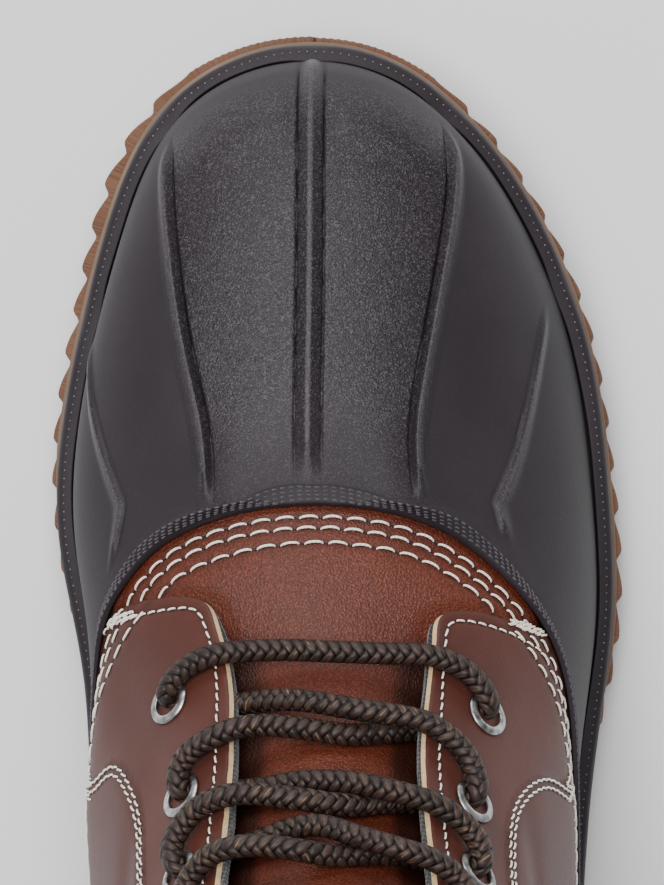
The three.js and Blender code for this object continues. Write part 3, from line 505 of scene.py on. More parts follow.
def colour_set(look, colour):
    look.set("Base Color", colour)
    return look.mat


# rubber of the shell: dark brown grey, speckled between the ribs with dark flecks and painted glints; painted highlight
# on the rib crests, painted shade in the creases and on steep walls
def rubber():
    k = Look("shell_rubber", Specular_IOR_Level=.3)
    p = k.mm()
    fine, speck, broad = k.noise(p, .36, 2, .6), k.noise(p, .6, 2, .6), k.noise(p, 24, 3)
    pepper = k.cells(p, .22, out="Color")
    field = k.value("field")
    k.bump((fine * .6 + speck * .4) * field, .24)
    k.bump(k.noise(p, 5, 2), .05)
    tint = k.blend(broad.ramp(.3, .7), srgb(38, 32, 36), srgb(45, 38, 43))
    tint = k.blend(pepper.ramp(.42, .25) * field * .55, tint, srgb(15, 13, 14))
    # pale flecks in the field: painted glints of the pebble grain
    tint = k.blend(pepper.ramp(.62, .87) * field * .28, tint, srgb(120, 116, 124))
    # lighter along the rib crests: painted highlight
    tint = k.blend(k.value("crest").ramp(.88, 1.0) * .26, tint, srgb(96, 91, 98))
    # darker on steep walls, by how far the surface turns from upright: painted shade
    tint = k.blend(k.value("steep").ramp(.35, .95) * .6, tint, srgb(14, 12, 13))
    # near black in the rib creases and across the band's face: painted shade
    tint = k.blend(k.value("crease").ramp(.2, 1.0) * .85, tint, srgb(9, 8, 9))
    k.set("Roughness", mix_value(field, .62, .37) + mix_value(speck, -.06, .06))
    return colour_set(k, tint)


def mix_value(s, a, b):
    return s * (b - a) + a


def gum():
    k = Look("gum_outsole", Specular_IOR_Level=.4)
    p = k.mm()
    u, v, _ = k.split(k.uv())
    lines = k.noise(k.join(u * 2.6, v * .15), 1, 2, .55)
    broad, fine = k.noise(p, 14, 3), k.noise(p, .8, 3, .6)
    tint = k.blend(broad.ramp(.3, .72), srgb(106, 68, 45), srgb(122, 83, 57))
    tint = k.blend(lines.ramp(.35, .7) * .45, tint, srgb(84, 52, 33))
    tint = k.blend(fine.ramp(.62, .82) * .25, tint, srgb(160, 118, 84))
    k.bump(lines, .3).bump(fine, .06)
    k.set("Roughness", mix_value(fine, .5, .66))
    return colour_set(k, tint)


def strip():
    k = Look("tan_midsole_strip", Specular_IOR_Level=.35)
    p = k.mm()
    broad, fine = k.noise(p, 18, 3), k.noise(p, .7, 3, .6)
    tint = k.blend(broad.ramp(.3, .7), srgb(112, 92, 78), srgb(127, 106, 90))
    tint = k.blend(fine.ramp(.55, .8) * .4, tint, srgb(116, 94, 78))
    k.bump(fine, .05)
    k.set("Roughness", mix_value(fine, .55, .7))
    return colour_set(k, tint)


def vamp_leather():
    k = Look("vamp_leather", Specular_IOR_Level=.36)
    p = k.mm()
    grain = k.cells(p, .5, "SMOOTH_F1", .35)
    small, broad, wrinkle = k.noise(p, .35, 2, .6), k.noise(p, 20, 3, .55), k.noise(p, 1.1, 3, .62, .6)
    tint = k.blend(broad.ramp(.28, .72), srgb(88, 36, 20), srgb(102, 44, 26))
    tint = k.blend(grain.ramp(.3, .7) * .45, k.blend(small.ramp(.4, .8) * .2, tint, srgb(128, 70, 48)), srgb(56, 20, 11))
    pepper = k.cells(p, .27, out="Color")
    tint = k.blend(pepper.ramp(.5, .2) * .28, tint, srgb(40, 14, 8))
    tint = k.blend(pepper.ramp(.55, .85) * .18, tint, srgb(146, 84, 60))
    tint = k.blend(k.value("shade").ramp(.0, 1.0) * .8, tint, srgb(26, 8, 4))
    # darker in the grooves under the stitch rows: painted shade
    tint = k.blend(k.value("seam").ramp(.0, 1.0) * .45, tint, srgb(46, 18, 11))
    k.bump(1 - grain.ramp(.1, .75), .085).bump(wrinkle, .1).bump(small, .025)
    k.set("Roughness", grain.ramp(.15, .65, .34, .54))
    return colour_set(k, tint)


def quarter_leather():
    k = Look("quarter_leather", Specular_IOR_Level=.28)
    p = k.mm()
    small, broad, grain = k.noise(p, .45, 3, .6), k.noise(p, 26, 3, .55), k.cells(p, .5, "SMOOTH_F1", .6)
    mid = k.noise(p, 6, 3, .6)
    tint = k.blend(broad.ramp(.3, .7), srgb(74, 39, 31), srgb(86, 47, 38))
    tint = k.blend(mid.ramp(.5, .8) * .22, tint, srgb(66, 35, 28))
    tint = k.blend(k.noise(p, .9, 1).ramp(.74, .82) * .3, tint, srgb(130, 90, 78))
    # darker along the stitch grooves and the panel seam: painted shade
    tint = k.blend(k.value("seam").ramp(.0, 1.0) * .45, tint, srgb(50, 24, 18))
    k.bump(1 - grain.ramp(.1, .75), .016).bump(small, .012).bump(mid, .06)
    k.set("Roughness", mix_value(small, .4, .54))
    return colour_set(k, tint)


def cut_edge():
    k = Look("cut_leather_edge", Specular_IOR_Level=.25)
    p = k.mm()
    fine = k.noise(p, .3, 3, .7)
    tint = k.blend(fine.ramp(.3, .75), srgb(206, 170, 124), srgb(240, 212, 168))
    k.bump(fine, .08)
    k.set("Roughness", mix_value(fine, .7, .9))
    return colour_set(k, tint)


def lining():
    k = Look("black_lining", Specular_IOR_Level=.3)
    k.set("Sheen Weight", .35).set("Sheen Roughness", .5)
    p = k.mm()
    x, y, z = k.split(p)
    knit = ((x + y) * 3.2).sin() * ((z * 3.6) + y).sin()
    fuzz = k.noise(p, .28, 3, .7)
    tint = k.blend(fuzz.ramp(.45, .8), srgb(20, 20, 22), srgb(62, 62, 66))
    k.bump(knit.ramp(-1, 1), .12).bump(fuzz, .16)
    k.set("Roughness", mix_value(fuzz, .75, .95))
    return colour_set(k, tint)


def thread():
    k = Look("waxed_thread", Specular_IOR_Level=.8, Coat_Weight=.5, Coat_Roughness=.3)
    p = k.mm()
    u, v, _ = k.split(k.uv())
    twist = ((u * 7.5) + (v * 6.283)).sin()
    fine = k.noise(p, .2, 2, .6)
    tint = k.blend(fine.ramp(.3, .7), srgb(253, 244, 226), srgb(255, 252, 242))
    # darker in the grooves of the twist: painted shade
    tint = k.blend(twist.ramp(.2, -1.0) * .2, tint, srgb(200, 168, 134))
    k.bump(twist.ramp(-1, 1), .05)
    k.set("Roughness", mix_value(fine, .3, .46))
    return colour_set(k, tint)


def braid():
    """Round two-over-two braid: the floats are worked out from the length and the angle of the cord."""
    k = Look("braided_lace", Specular_IOR_Level=.4)
    s, a, _ = k.split(k.uv())
    right, left = a * BRAID_STRANDS + s / BRAID_PITCH, a * BRAID_STRANDS - s / BRAID_PITCH
    fr, fl, ir, il = right.fract(), left.fract(), right.floor(), left.floor()
    phase = (ir + il + 400) / 4
    phase = phase.fract() * 4
    over = phase.less(1.5)
    along = (over * ((phase + fl) / 2)) + ((1 - over) * ((phase - 2 + fr) / 2))
    across = (over * fr) + ((1 - over) * fl)
    crown = 1 - (across * 2 - 1).power(2)
    rise = (along * 3.14159).sin()
    ids = k.noise(k.join(ir * 3.1 + over * 17, il * 2.3), 1, 0)
    yarn = k.noise(k.join(across * 5.5 + ids * 9, along * .9 + ids * 5, 0.0), 1, 2, .6)
    height = crown * .5 + rise.power(.6) * .5
    highlight_patches = k.noise(k.mm(), 7, 2)
    tint = k.blend(ids.ramp(.35, .65), srgb(35, 23, 19), srgb(56, 40, 33))
    tint = k.blend(yarn.ramp(.45, .75) * .5, tint, srgb(82, 64, 52))
    # golden on the crowns of the raised floats, in patches: painted highlight
    tint = k.blend(yarn.ramp(.56, .8) * highlight_patches.ramp(.44, .62) * height.ramp(.4, .9) * .8, tint, srgb(150, 114, 76))
    # near black low between the floats: painted shade
    tint = k.blend(height.ramp(.7, .3), tint, srgb(9, 6, 6))
    k.bump(height.ramp(.0, .9), .5).bump(yarn, .08)
    k.set("Roughness", mix_value(yarn, .42, .6))
    return colour_set(k, tint)


def nickel():
    k = Look("eyelet_nickel", Metallic=1.0)
    p = k.mm()
    fine, broad = k.noise(p, .5, 3, .6), k.noise(p, 2.4, 2)
    tint = k.blend(broad.ramp(.35, .65), srgb(126, 124, 124), srgb(198, 196, 194))
    k.bump(fine, .03)
    k.set("Roughness", mix_value(fine, .26, .42))
    return colour_set(k, tint)


def footbed():
    k = Look("footbed_cloth", Specular_IOR_Level=.2)
    k.set("Sheen Weight", .2)
    p = k.mm()
    x, y, _ = k.split(p)
    weave = (x * 5.2).sin() * (y * 5.2).sin()
    fine, broad = k.noise(p, .5, 3, .65), k.noise(p, 22, 3)
    tint = k.blend(broad.ramp(.3, .7), srgb(166, 146, 116), srgb(182, 162, 132))
    tint = k.blend(weave.ramp(-.2, .9) * .4, tint, srgb(138, 116, 88))
    k.bump(weave.ramp(-1, 1), .12).bump(fine, .08)
    k.set("Roughness", mix_value(fine, .78, .95))
    return colour_set(k, tint)


def plain_dark(name, a, b, size=.5, deep=.04):
    k = Look(name, Specular_IOR_Level=.3)
    p = k.mm()
    fine = k.noise(p, size, 3, .6)
    k.bump(fine, deep)
    k.set("Roughness", mix_value(fine, .6, .8))
    return colour_set(k, k.blend(fine.ramp(.3, .7), srgb(*a), srgb(*b)))


def floor_paper():
    k = Look("pale_floor", Specular_IOR_Level=.1)
    p = k.mm()
    fine, broad = k.noise(p, 1.2, 3), k.noise(p, 500, 2)
    k.set("Roughness", mix_value(fine, .85, .95))
    return colour_set(k, k.blend(broad.ramp(.2, .8), srgb(241, 241, 242), srgb(244, 244, 245)))


RUBBER, GUM, STRIP = rubber(), gum(), strip()
VAMP, QUARTER, EDGE, LINING = vamp_leather(), quarter_leather(), cut_edge(), lining()
THREAD, BRAID, NICKEL, FOOTBED = thread(), braid(), nickel(), footbed()
HOLE_SHADE = plain_dark("needle_hole_shade", (26, 12, 8), (38, 18, 12))
# the knurled wedges are paler than the shell: painted highlight on their raised faces
KNURL = plain_dark("knurl_painted_highlight", (70, 66, 71), (98, 93, 100))
DOTS = plain_dark("rim_dots", (98, 94, 96), (140, 136, 136))

# ---------- camera, light, floor ----------
camera = bpy.data.objects.new("camera", bpy.data.cameras.new("camera"))
bpy.context.scene.collection.objects.link(camera)
camera.location = (.00108, -.0718, 1.3)
camera.rotation_euler = (0, 0, math.pi)
camera.data.lens, camera.data.sensor_width = 260.34, 36
camera.data.clip_start, camera.data.clip_end = .02, 20
bpy.context.scene.camera = camera

world = bpy.data.worlds.new("studio")
world.use_nodes = True
world.node_tree.nodes["Background"].inputs[0].default_value = (.94, .95, 1, 1)
world.node_tree.nodes["Background"].inputs[1].default_value = .34
bpy.context.scene.world = world


def area(name, place, aim, width, height, power, tint=(1, 1, 1)):
    data = bpy.data.lights.new(name, "AREA")
    data.shape, data.size, data.size_y, data.energy, data.color = "RECTANGLE", width, height, power, tint
    ob = bpy.data.objects.new(name, data)
    bpy.context.scene.collection.objects.link(ob)
    z = np.array(place, float) - np.array(aim, float)
    z /= np.linalg.norm(z)
    x = np.cross((0, 0, 1), z)
    x = x / np.linalg.norm(x) if np.linalg.norm(x) > 1e-6 else np.array((1, 0, 0))
    y = np.cross(z, x)
    from mathutils import Matrix
    ob.matrix_world = Matrix([[x[0], y[0], z[0], place[0]], [x[1], y[1], z[1], place[1]], [x[2], y[2], z[2], place[2]], [0, 0, 0, 1]])
    return ob


area("overhead_softbox", (.35, -.42, 2.5), (0, -.02, .04), 1.9, 1.4, 76)
area("front_softbox", (.3, -2.3, 1.2), (0, -.03, .08), 1.4, 1.0, 26)
area("left_softbox", (2.4, .1, .9), (0, 0, .1), 1.2, .8, 3)

floor_part = Part()
gx = np.linspace(-3500, 3500, 9)
X, Y = np.meshgrid(gx, gx)
floor_part.grid(np.stack([X, Y, np.zeros_like(X)], -1))
me_floor = bpy.data.meshes.new("floor")
me_floor.from_pydata([tuple(v) for v in (floor_part.v[0] * .001).tolist()], [], [tuple(f) for f in floor_part.f[0][0].tolist()])
me_floor.materials.append(floor_paper())
floor = bpy.data.objects.new("floor", me_floor)
bpy.context.scene.collection.objects.link(floor)


# ---------- leather relief ----------
def crease_relief(level, turn):
    out = np.zeros(np.broadcast(level, turn).shape)
    t180 = (np.asarray(turn) + 180) % 360 - 180
    for i in range(len(CREASES["level"])):
        c = {k: v[i] for k, v in CREASES.items()}
        a = ((t180 - c["turn"] + 180) % 360 - 180) * float(per_degree(c["level"], c["turn"]))
        b = (level - c["level"]) * float(per_level(c["level"], c["turn"]))
        h = math.radians(c["heading"])
        along, across = a * math.cos(h) + b * math.sin(h), -a * math.sin(h) + b * math.cos(h)
        across = across + 1.6 * np.sin(along / (c["long"] * .55) + i)
        fade = np.exp(-(along / c["long"]) ** 2 * 1.6)
        out += fade * c["deep"] * (-np.exp(-(across / c["wide"]) ** 2) + .6 * np.exp(-((across - 1.9 * c["wide"]) / (1.3 * c["wide"])) ** 2))
    return out


def row_distance(level, turn):
    """Height above the shell's edge in millimetres."""
    speed = np.linalg.norm(form(1.04, turn) - form(1, turn), axis=-1) / .04
    return (level - 1) * speed


def curve_points(levels, turns):
    return form(levels, turns)


def nearest(points, line):
    flat = points.reshape(-1, 3)
    out = np.empty(len(flat))
    for i in range(0, len(flat), 4000):
        d = flat[i:i + 4000, None] - line[None]
        out[i:i + 4000] = np.sqrt((d * d).sum(-1).min(1))
    return out.reshape(points.shape[:-1])


FINE = np.linspace(.9, 2.06, 420)
EDGE_LINES = {s: form(FINE, s * cut_edge_turn[0 if s > 0 else 1](FINE)) for s in (1, -1)}
SEAM_LINES = {s: form(FINE, s * panel_seam[0 if s > 0 else 1](FINE)) for s in (1, -1)}
inset = curve(FACING_ROW, "inset", "level")


def quarter_relief(level, turn):
    """Offset from the plain leather face, and how close to a seam a point is."""
    t180 = (turn + 180) % 360 - 180
    side = np.where(t180 >= 0, 1, -1)
    p = form(level, turn)
    edge = np.where(side > 0, nearest(p, EDGE_LINES[1]), nearest(p, EDGE_LINES[-1]))
    seam = np.where(side > 0, nearest(p, SEAM_LINES[1]), nearest(p, SEAM_LINES[-1]))
    back = np.abs(t180) - np.where(side > 0, panel_seam[0](level), panel_seam[1](level)) > 0
    signed = np.where(back, seam, -seam)
    out, near = np.zeros(p.shape[:-1]), np.zeros(p.shape[:-1])
    up = row_distance(level, turn)

    def trough(d, wide, deep):
        nonlocal out, near
        g = np.exp(-(d / wide) ** 2)
        out = out - deep * g
        near = np.maximum(near, g)
    trough(edge - inset(level), .75, .16)
    for r in SHELL_ROWS:
        trough(up - r, .8, .15)
    trough(signed - .8, .7, .2)
    trough(signed - 2.2, .7, .2)
    out = out + .45 * smooth(-.35, .12, signed) * smooth(30, 2, signed)
    # a narrow dark line just in front of the back panel's lapped edge: painted shadow
    near = np.maximum(near, .9 * np.exp(-((signed + .15) / .3) ** 2))
    out = out + 1.25 * quarter_swell(t180) * smooth(1.0, 1.045, level) * smooth(1.5, 1.2, level)
    out = out + crease_relief(level, turn) * smooth(3, 16, edge) * smooth(2, 14, np.maximum(up, 0)) * smooth(2.05, 1.75, level)
    out = out - .35 * smooth(.7, 0, edge) ** 2
    return out, near


# stitches: threads laid along a line of the surface
def run_of(points):
    return np.concatenate([[0], np.cumsum(np.linalg.norm(np.diff(points, axis=0), axis=1))])


def stitch_row(part, hole_shade, points, normals, pitch, length, r=THREAD_R, lift=.34, slant=0.0, start=.5, bow=0.0):
    s = run_of(points)
    total = s[-1]
    count = int(total / pitch - start + .5)
    if count < 1:
        return
    pitch = total / (count + start - .5)
    centres = pitch * (start + np.arange(count))
    q = np.linspace(-1, 1, 9)
    at = centres[:, None] + q[None] * length / 2
    P = np.stack([np.interp(at, s, points[:, i]) for i in range(3)], -1)
    N = unit(np.stack([np.interp(at, s, normals[:, i]) for i in range(3)], -1))
    T = unit(np.stack([np.interp(at + .1, s, points[:, i]) - np.interp(at - .1, s, points[:, i]) for i in range(3)], -1))
    B = np.cross(N, T)
    h = lift * (1 - np.abs(q) ** 4) - .34 * np.abs(q) ** 10
    C = P + N * h[None, :, None] + B * (slant * q + bow * (1 - q * q))[None, :, None]
    D = unit(np.gradient(C, axis=1))
    B2 = unit(np.cross(N, D))
    N2 = np.cross(D, B2)
    thick = r * np.sqrt(np.clip(1 - (.95 * q) ** 4, .06, 1))
    a = np.linspace(0, 2 * np.pi, 8, endpoint=False)
    ring = C[:, :, None] + (B2[:, :, None] * np.cos(a)[None, None, :, None] * 1.08 + N2[:, :, None] * np.sin(a)[None, None, :, None] * .86) * thick[None, :, None, None]
    n, m, k = len(centres), len(q), len(a)
    idx = np.arange(n * m * k).reshape(n, m, k)
    nxt = np.roll(idx, -1, axis=2)
    f = np.stack([idx[:, :-1], nxt[:, :-1], nxt[:, 1:], idx[:, 1:]], -1).reshape(-1, 4)[:, ::-1]
    uu = np.broadcast_to((q * length / 2)[None, :, None], (n, m, k)).reshape(-1)
    vv = np.broadcast_to((np.arange(k) / k)[None, None], (n, m, k)).reshape(-1)
    uv = np.stack([uu[f], vv[f]], -1)
    part.add(ring.reshape(-1, 3), f, uv)
    caps = np.concatenate([idx[:, 0, :][:, [0, 1, 2, 3]], idx[:, 0, :][:, [0, 3, 4, 7]], idx[:, 0, :][:, [4, 5, 6, 7]]])
    caps2 = np.concatenate([idx[:, -1, :][:, [0, 1, 2, 3]], idx[:, -1, :][:, [0, 3, 4, 7]], idx[:, -1, :][:, [4, 5, 6, 7]]])[:, ::-1]
    part.f.append((np.concatenate([caps, caps2]) + part.n - n * m * k, np.zeros((len(caps) * 2, 4, 2)), np.zeros(len(caps) * 2, int)))
    # dark discs at both ends of each stitch: painted shade in each needle hole
    ha = np.linspace(0, 2 * np.pi, 7)[:-1]
    ends = np.concatenate([P[:, 0], P[:, -1]]) + np.concatenate([B[:, 0], B[:, -1]]) * np.repeat([-slant, slant], n)[:, None]
    eb, et, en = np.concatenate([B[:, 0], B[:, -1]]), np.concatenate([T[:, 0], T[:, -1]]), np.concatenate([N[:, 0], N[:, -1]])
    disc = ends[:, None] + (eb[:, None] * np.cos(ha)[None, :, None] + et[:, None] * np.sin(ha)[None, :, None] * .8) * r * 1.25 + en[:, None] * .04
    hid = np.arange(len(ends) * 6).reshape(-1, 6)
    hole_shade.add(disc.reshape(-1, 3), np.concatenate([hid[:, [3, 2, 1, 0]], hid[:, [5, 4, 3, 0]]]))


def quarter_line(levels, turns, extra=0.0):
    off, _ = quarter_relief(levels, turns % 360)
    n = outward(levels, turns)
    return form(levels, turns) + n * (LEATHER_FACE + off + extra)[:, None], n


def even(points, extras, step=.35):
    s = run_of(points)
    at = np.arange(0, s[-1], step)
    pick = lambda a: np.stack([np.interp(at, s, a[:, i]) for i in range(a.shape[1])], -1)
    return pick(points), pick(extras)


# ---------- outsole, strip, insole ----------
def u_of(p):
    return p[..., 1] + HALF_LENGTH


def side_of(turn):
    return np.sin(np.radians(turn)) >= 0


def perimeter(step_fine, step):
    """Turns at even distances round the rim line, closer together at the toe."""
    t = np.linspace(0, 360, 5761)
    s = run_of(form(0, t))
    half = s[-1] / 2
    fine = np.arange(0, 26, step_fine)
    rest = np.arange(26, half - 26, step)
    near = np.concatenate([fine, rest])
    at = np.concatenate([near, [half], np.sort(2 * half - near[1:])])
    return np.interp(at, s, t), np.minimum(at, s[-1] - at), s[-1]


def underside(u):
    z = np.where(u < 85, 11 * np.clip(1 - u / 85, 0, 1) ** 2, 0)
    arch = (u > 132) & (u < 214)
    return np.where(arch, 4 * np.sin(np.pi * np.clip((u - 132) / 82, 0, 1)) ** 2, z)


def make_outsole():
    turn, run, total = perimeter(.32, .62)
    base = form(0, turn)
    u = u_of(base)
    out = RIM_PROUD + np.where(side_of(turn), outsole_edge[0](u), outsole_edge[1](u))
    q = ((run - 24) / LUG_PITCH) % 1
    tooth = np.where(q < .76, 1 - np.sin(np.pi / 2 * q / .76) ** 1.15, smooth(.76, 1, q))
    amp = np.where(side_of(turn), mix(1.05, 1.5, smooth(150, 60, u)), 1.1) * smooth(20, 32, run) * smooth(total / 2 - 22, total / 2 - 34, run)
    ridge = .16 * (.5 + .5 * np.cos(2 * np.pi * run / 1.3)) * smooth(26, 20, run)
    rows, z_top, z_bot = [], rim_height(u) - 4.5, underside(u)
    tall = z_top - z_bot

    def ring(o, z, fade=1.0):
        p = rim_point(turn, out + o - (tooth * amp + ridge) * fade, 0)
        p[..., 2] = z
        return p
    rows.append(ring(-9, z_top))
    rows.append(ring(-1.2, z_top, .9))
    rows.append(ring(-.35, z_top - .02))
    rows.append(ring(0, z_top - .4))
    for f in (.12, .28, .46, .64, .8, .92):
        rows.append(ring(.25 * math.sin(math.pi * f) - .5 * f * f, z_top - tall * f))
    rows.append(ring(-.55, z_bot + .45))
    rows.append(ring(-.95, z_bot + .05))
    rim = ring(-1.25, z_bot)
    rows.append(rim)
    centre_x = middle(np.clip(u_of(rim), 4, 302)) - MID_X
    cx = np.stack([centre_x, rim[:, 1], z_bot], -1)
    for f in np.concatenate([[.02, .05], np.linspace(.09, 1, 17)]):
        p = mix(rim, cx, f)
        uu = u_of(p)
        p[:, 2] = underside(uu)
        for gu, half in zip(GROOVES["u"], GROOVES["half"]):
            inside = (np.abs(p[:, 0] - (middle(gu) - MID_X)) < half)
            depth = 3.0 * smooth(1.75, 1.25, np.abs(uu - gu)) * inside
            p[:, 2] += depth
        rows.append(p)
    P = np.stack(rows)[:, :-1]
    s = np.concatenate([[0], np.cumsum(np.linalg.norm(np.diff(form(0, turn), axis=0), axis=1))])[:-1]
    uv = np.stack([np.broadcast_to(s, P.shape[:2]), P[..., 2]], -1)
    part = Part()
    part.grid(P, wrap=True, flip=True, uv=uv)
    build("gum_outsole", part, GUM, ["outsole"], sharp=38)


def make_strip():
    turn = np.linspace(0, 360, 721)[:-1]
    u = u_of(form(0, turn))
    e = np.where(side_of(turn), outsole_edge[0](u), outsole_edge[1](u))
    out = RIM_PROUD + np.clip(e - .9, .1, .8)
    z = rim_height(u)
    rows = []
    for o, up in ((-12, -2.35), (-.5, -2.35), (-.18, -2.42), (0, -2.7), (.02, -3.3), (0, -3.9), (-.2, -4.15), (-.5, -4.22), (-12, -4.22)):
        p = rim_point(turn, out + o, 0)
        p[..., 2] = z + up
        rows.append(p)
    part = Part()
    part.grid(np.stack(rows), wrap=True, close=True, flip=True)
    build("tan_midsole_strip", part, STRIP, ["midsole"], sharp=50)


def make_insole():
    turn = np.linspace(0, 360, 361)[:-1]
    rows = []

    def ring(out, up):
        p = rim_point(turn, out, 0)
        p[..., 2] = rim_height(u_of(p)) + up
        return p
    low, top = -2.1, 1.9
    edge = -RUBBER_WALL - .8
    rows += [ring(edge - .2, low), ring(edge, low + .3), ring(edge, top - 1), ring(edge - .5, top - .3), ring(edge - 1.4, top)]
    last = ring(edge - 1.4, top)
    centre = np.stack([middle(np.clip(u_of(last), 8, 298)) - MID_X, last[:, 1], last[:, 2]], -1)
    for f in (.06, .14, .26, .4, .55, .7, .85, 1):
        p = mix(last, centre, f)
        uu = u_of(p)
        p[:, 2] = rim_height(uu) + top - .5 * math.sin(f * math.pi / 2) * smooth(150, 240, uu)
        rows.append(p)
    bottom = ring(edge - .2, low)
    cb = np.stack([centre[:, 0], bottom[:, 1], bottom[:, 2]], -1)
    P = np.stack([mix(bottom, cb, 1), mix(bottom, cb, .5)] + rows)
    part = Part()
    part.grid(P, wrap=True)
    build("cushioned_insole", part, FOOTBED, ["insole"], sharp=60)


# ---------- rubber shell ----------
def shell_columns():
    """Turns close together over the toe, wider round the back."""
    t = np.linspace(-180, 180, 3601)
    density = mix(1.35, 3.3, smooth(72, 56, np.abs(t))) + .5 * smooth(150, 178, np.abs(t))
    for rib, extra, wide in ((0, 3.2, 3.6), (24.5, 1.8, 3), (-22.8, 1.8, 3)):
        density = density + extra * np.exp(-((t - rib) / wide) ** 2)
    c = np.concatenate([[0], np.cumsum((density[1:] + density[:-1]) / 2)])
    n = 700
    return np.interp(np.arange(n) * c[-1] / n, c, t)


def rib_relief(level, turn):
    t180 = (np.asarray(turn) + 180) % 360 - 180
    step = per_degree(np.clip(level, 0, 1), t180)
    out, lit, dark = (np.zeros(np.broadcast(level, turn).shape) for _ in range(3))
    for i in range(len(RIBS["start"])):
        r = {k: v[i] for k, v in RIBS.items()}
        path = rib_path(i)
        d = (t180 - path(level)) * step
        fade = smooth(r["start"] - .02, r["start"] + .08, level) * smooth(r["stop"], r["stop"] - .1, level)
        if r["lit"] == 0:
            prof = smooth(2.5, .2, np.abs(d)) * 1.5
            crease = np.exp(-((np.abs(d) - 2.5) / .3) ** 2)
            deep = .35
        else:
            e = d * r["lit"]  # positive away from the middle
            prof = np.where(e < 0, smooth(-1.5, -.2, e), smooth(3.8, .2, e)) * (1.6 if i < 3 else .7)
            crease = np.exp(-((e + 1.65) / .32) ** 2)
            deep = .5 if i < 3 else .2
        out = out + (prof - deep * crease) * fade
        # dark: painted shade along the crease beside each rib
        dark = np.maximum(dark, crease * fade * (1 if i < 3 else .5) * smooth(.95, .65, level))
        # lit: how high up a rib a point is, used for the painted highlight on the crests
        lit = np.maximum(lit, prof / (1.5 if i == 0 else 1.6 if i < 3 else .7) * fade)
    # low swell across the toe between the ribs
    a = np.abs(t180)
    out = out + .55 * np.exp(-((level - .265 - .0012 * a) / .034) ** 2) * smooth(2.6, 5, a) * smooth(22, 17, a)
    return out, lit, dark


def rib_path(i):
    r = {k: v[i] for k, v in RIBS.items()}
    return spline(np.array([r["start"], (r["start"] + r["stop"]) / 2, r["stop"]]), np.array([r["low"], r["mid"], r["high"]]))


def aside(turn):
    return np.abs((np.asarray(turn) + 180) % 360 - 180)


def band_line(turn, share):
    """A line along the collar band's face, share 0 at its lower edge and 1 at its upper edge."""
    a = aside(turn)
    return edge_level(turn, -band_height(a) * (1 - share)), mix(band_proud(a), BAND_TOP_PROUD, share) - .6 * quarter_swell(turn)


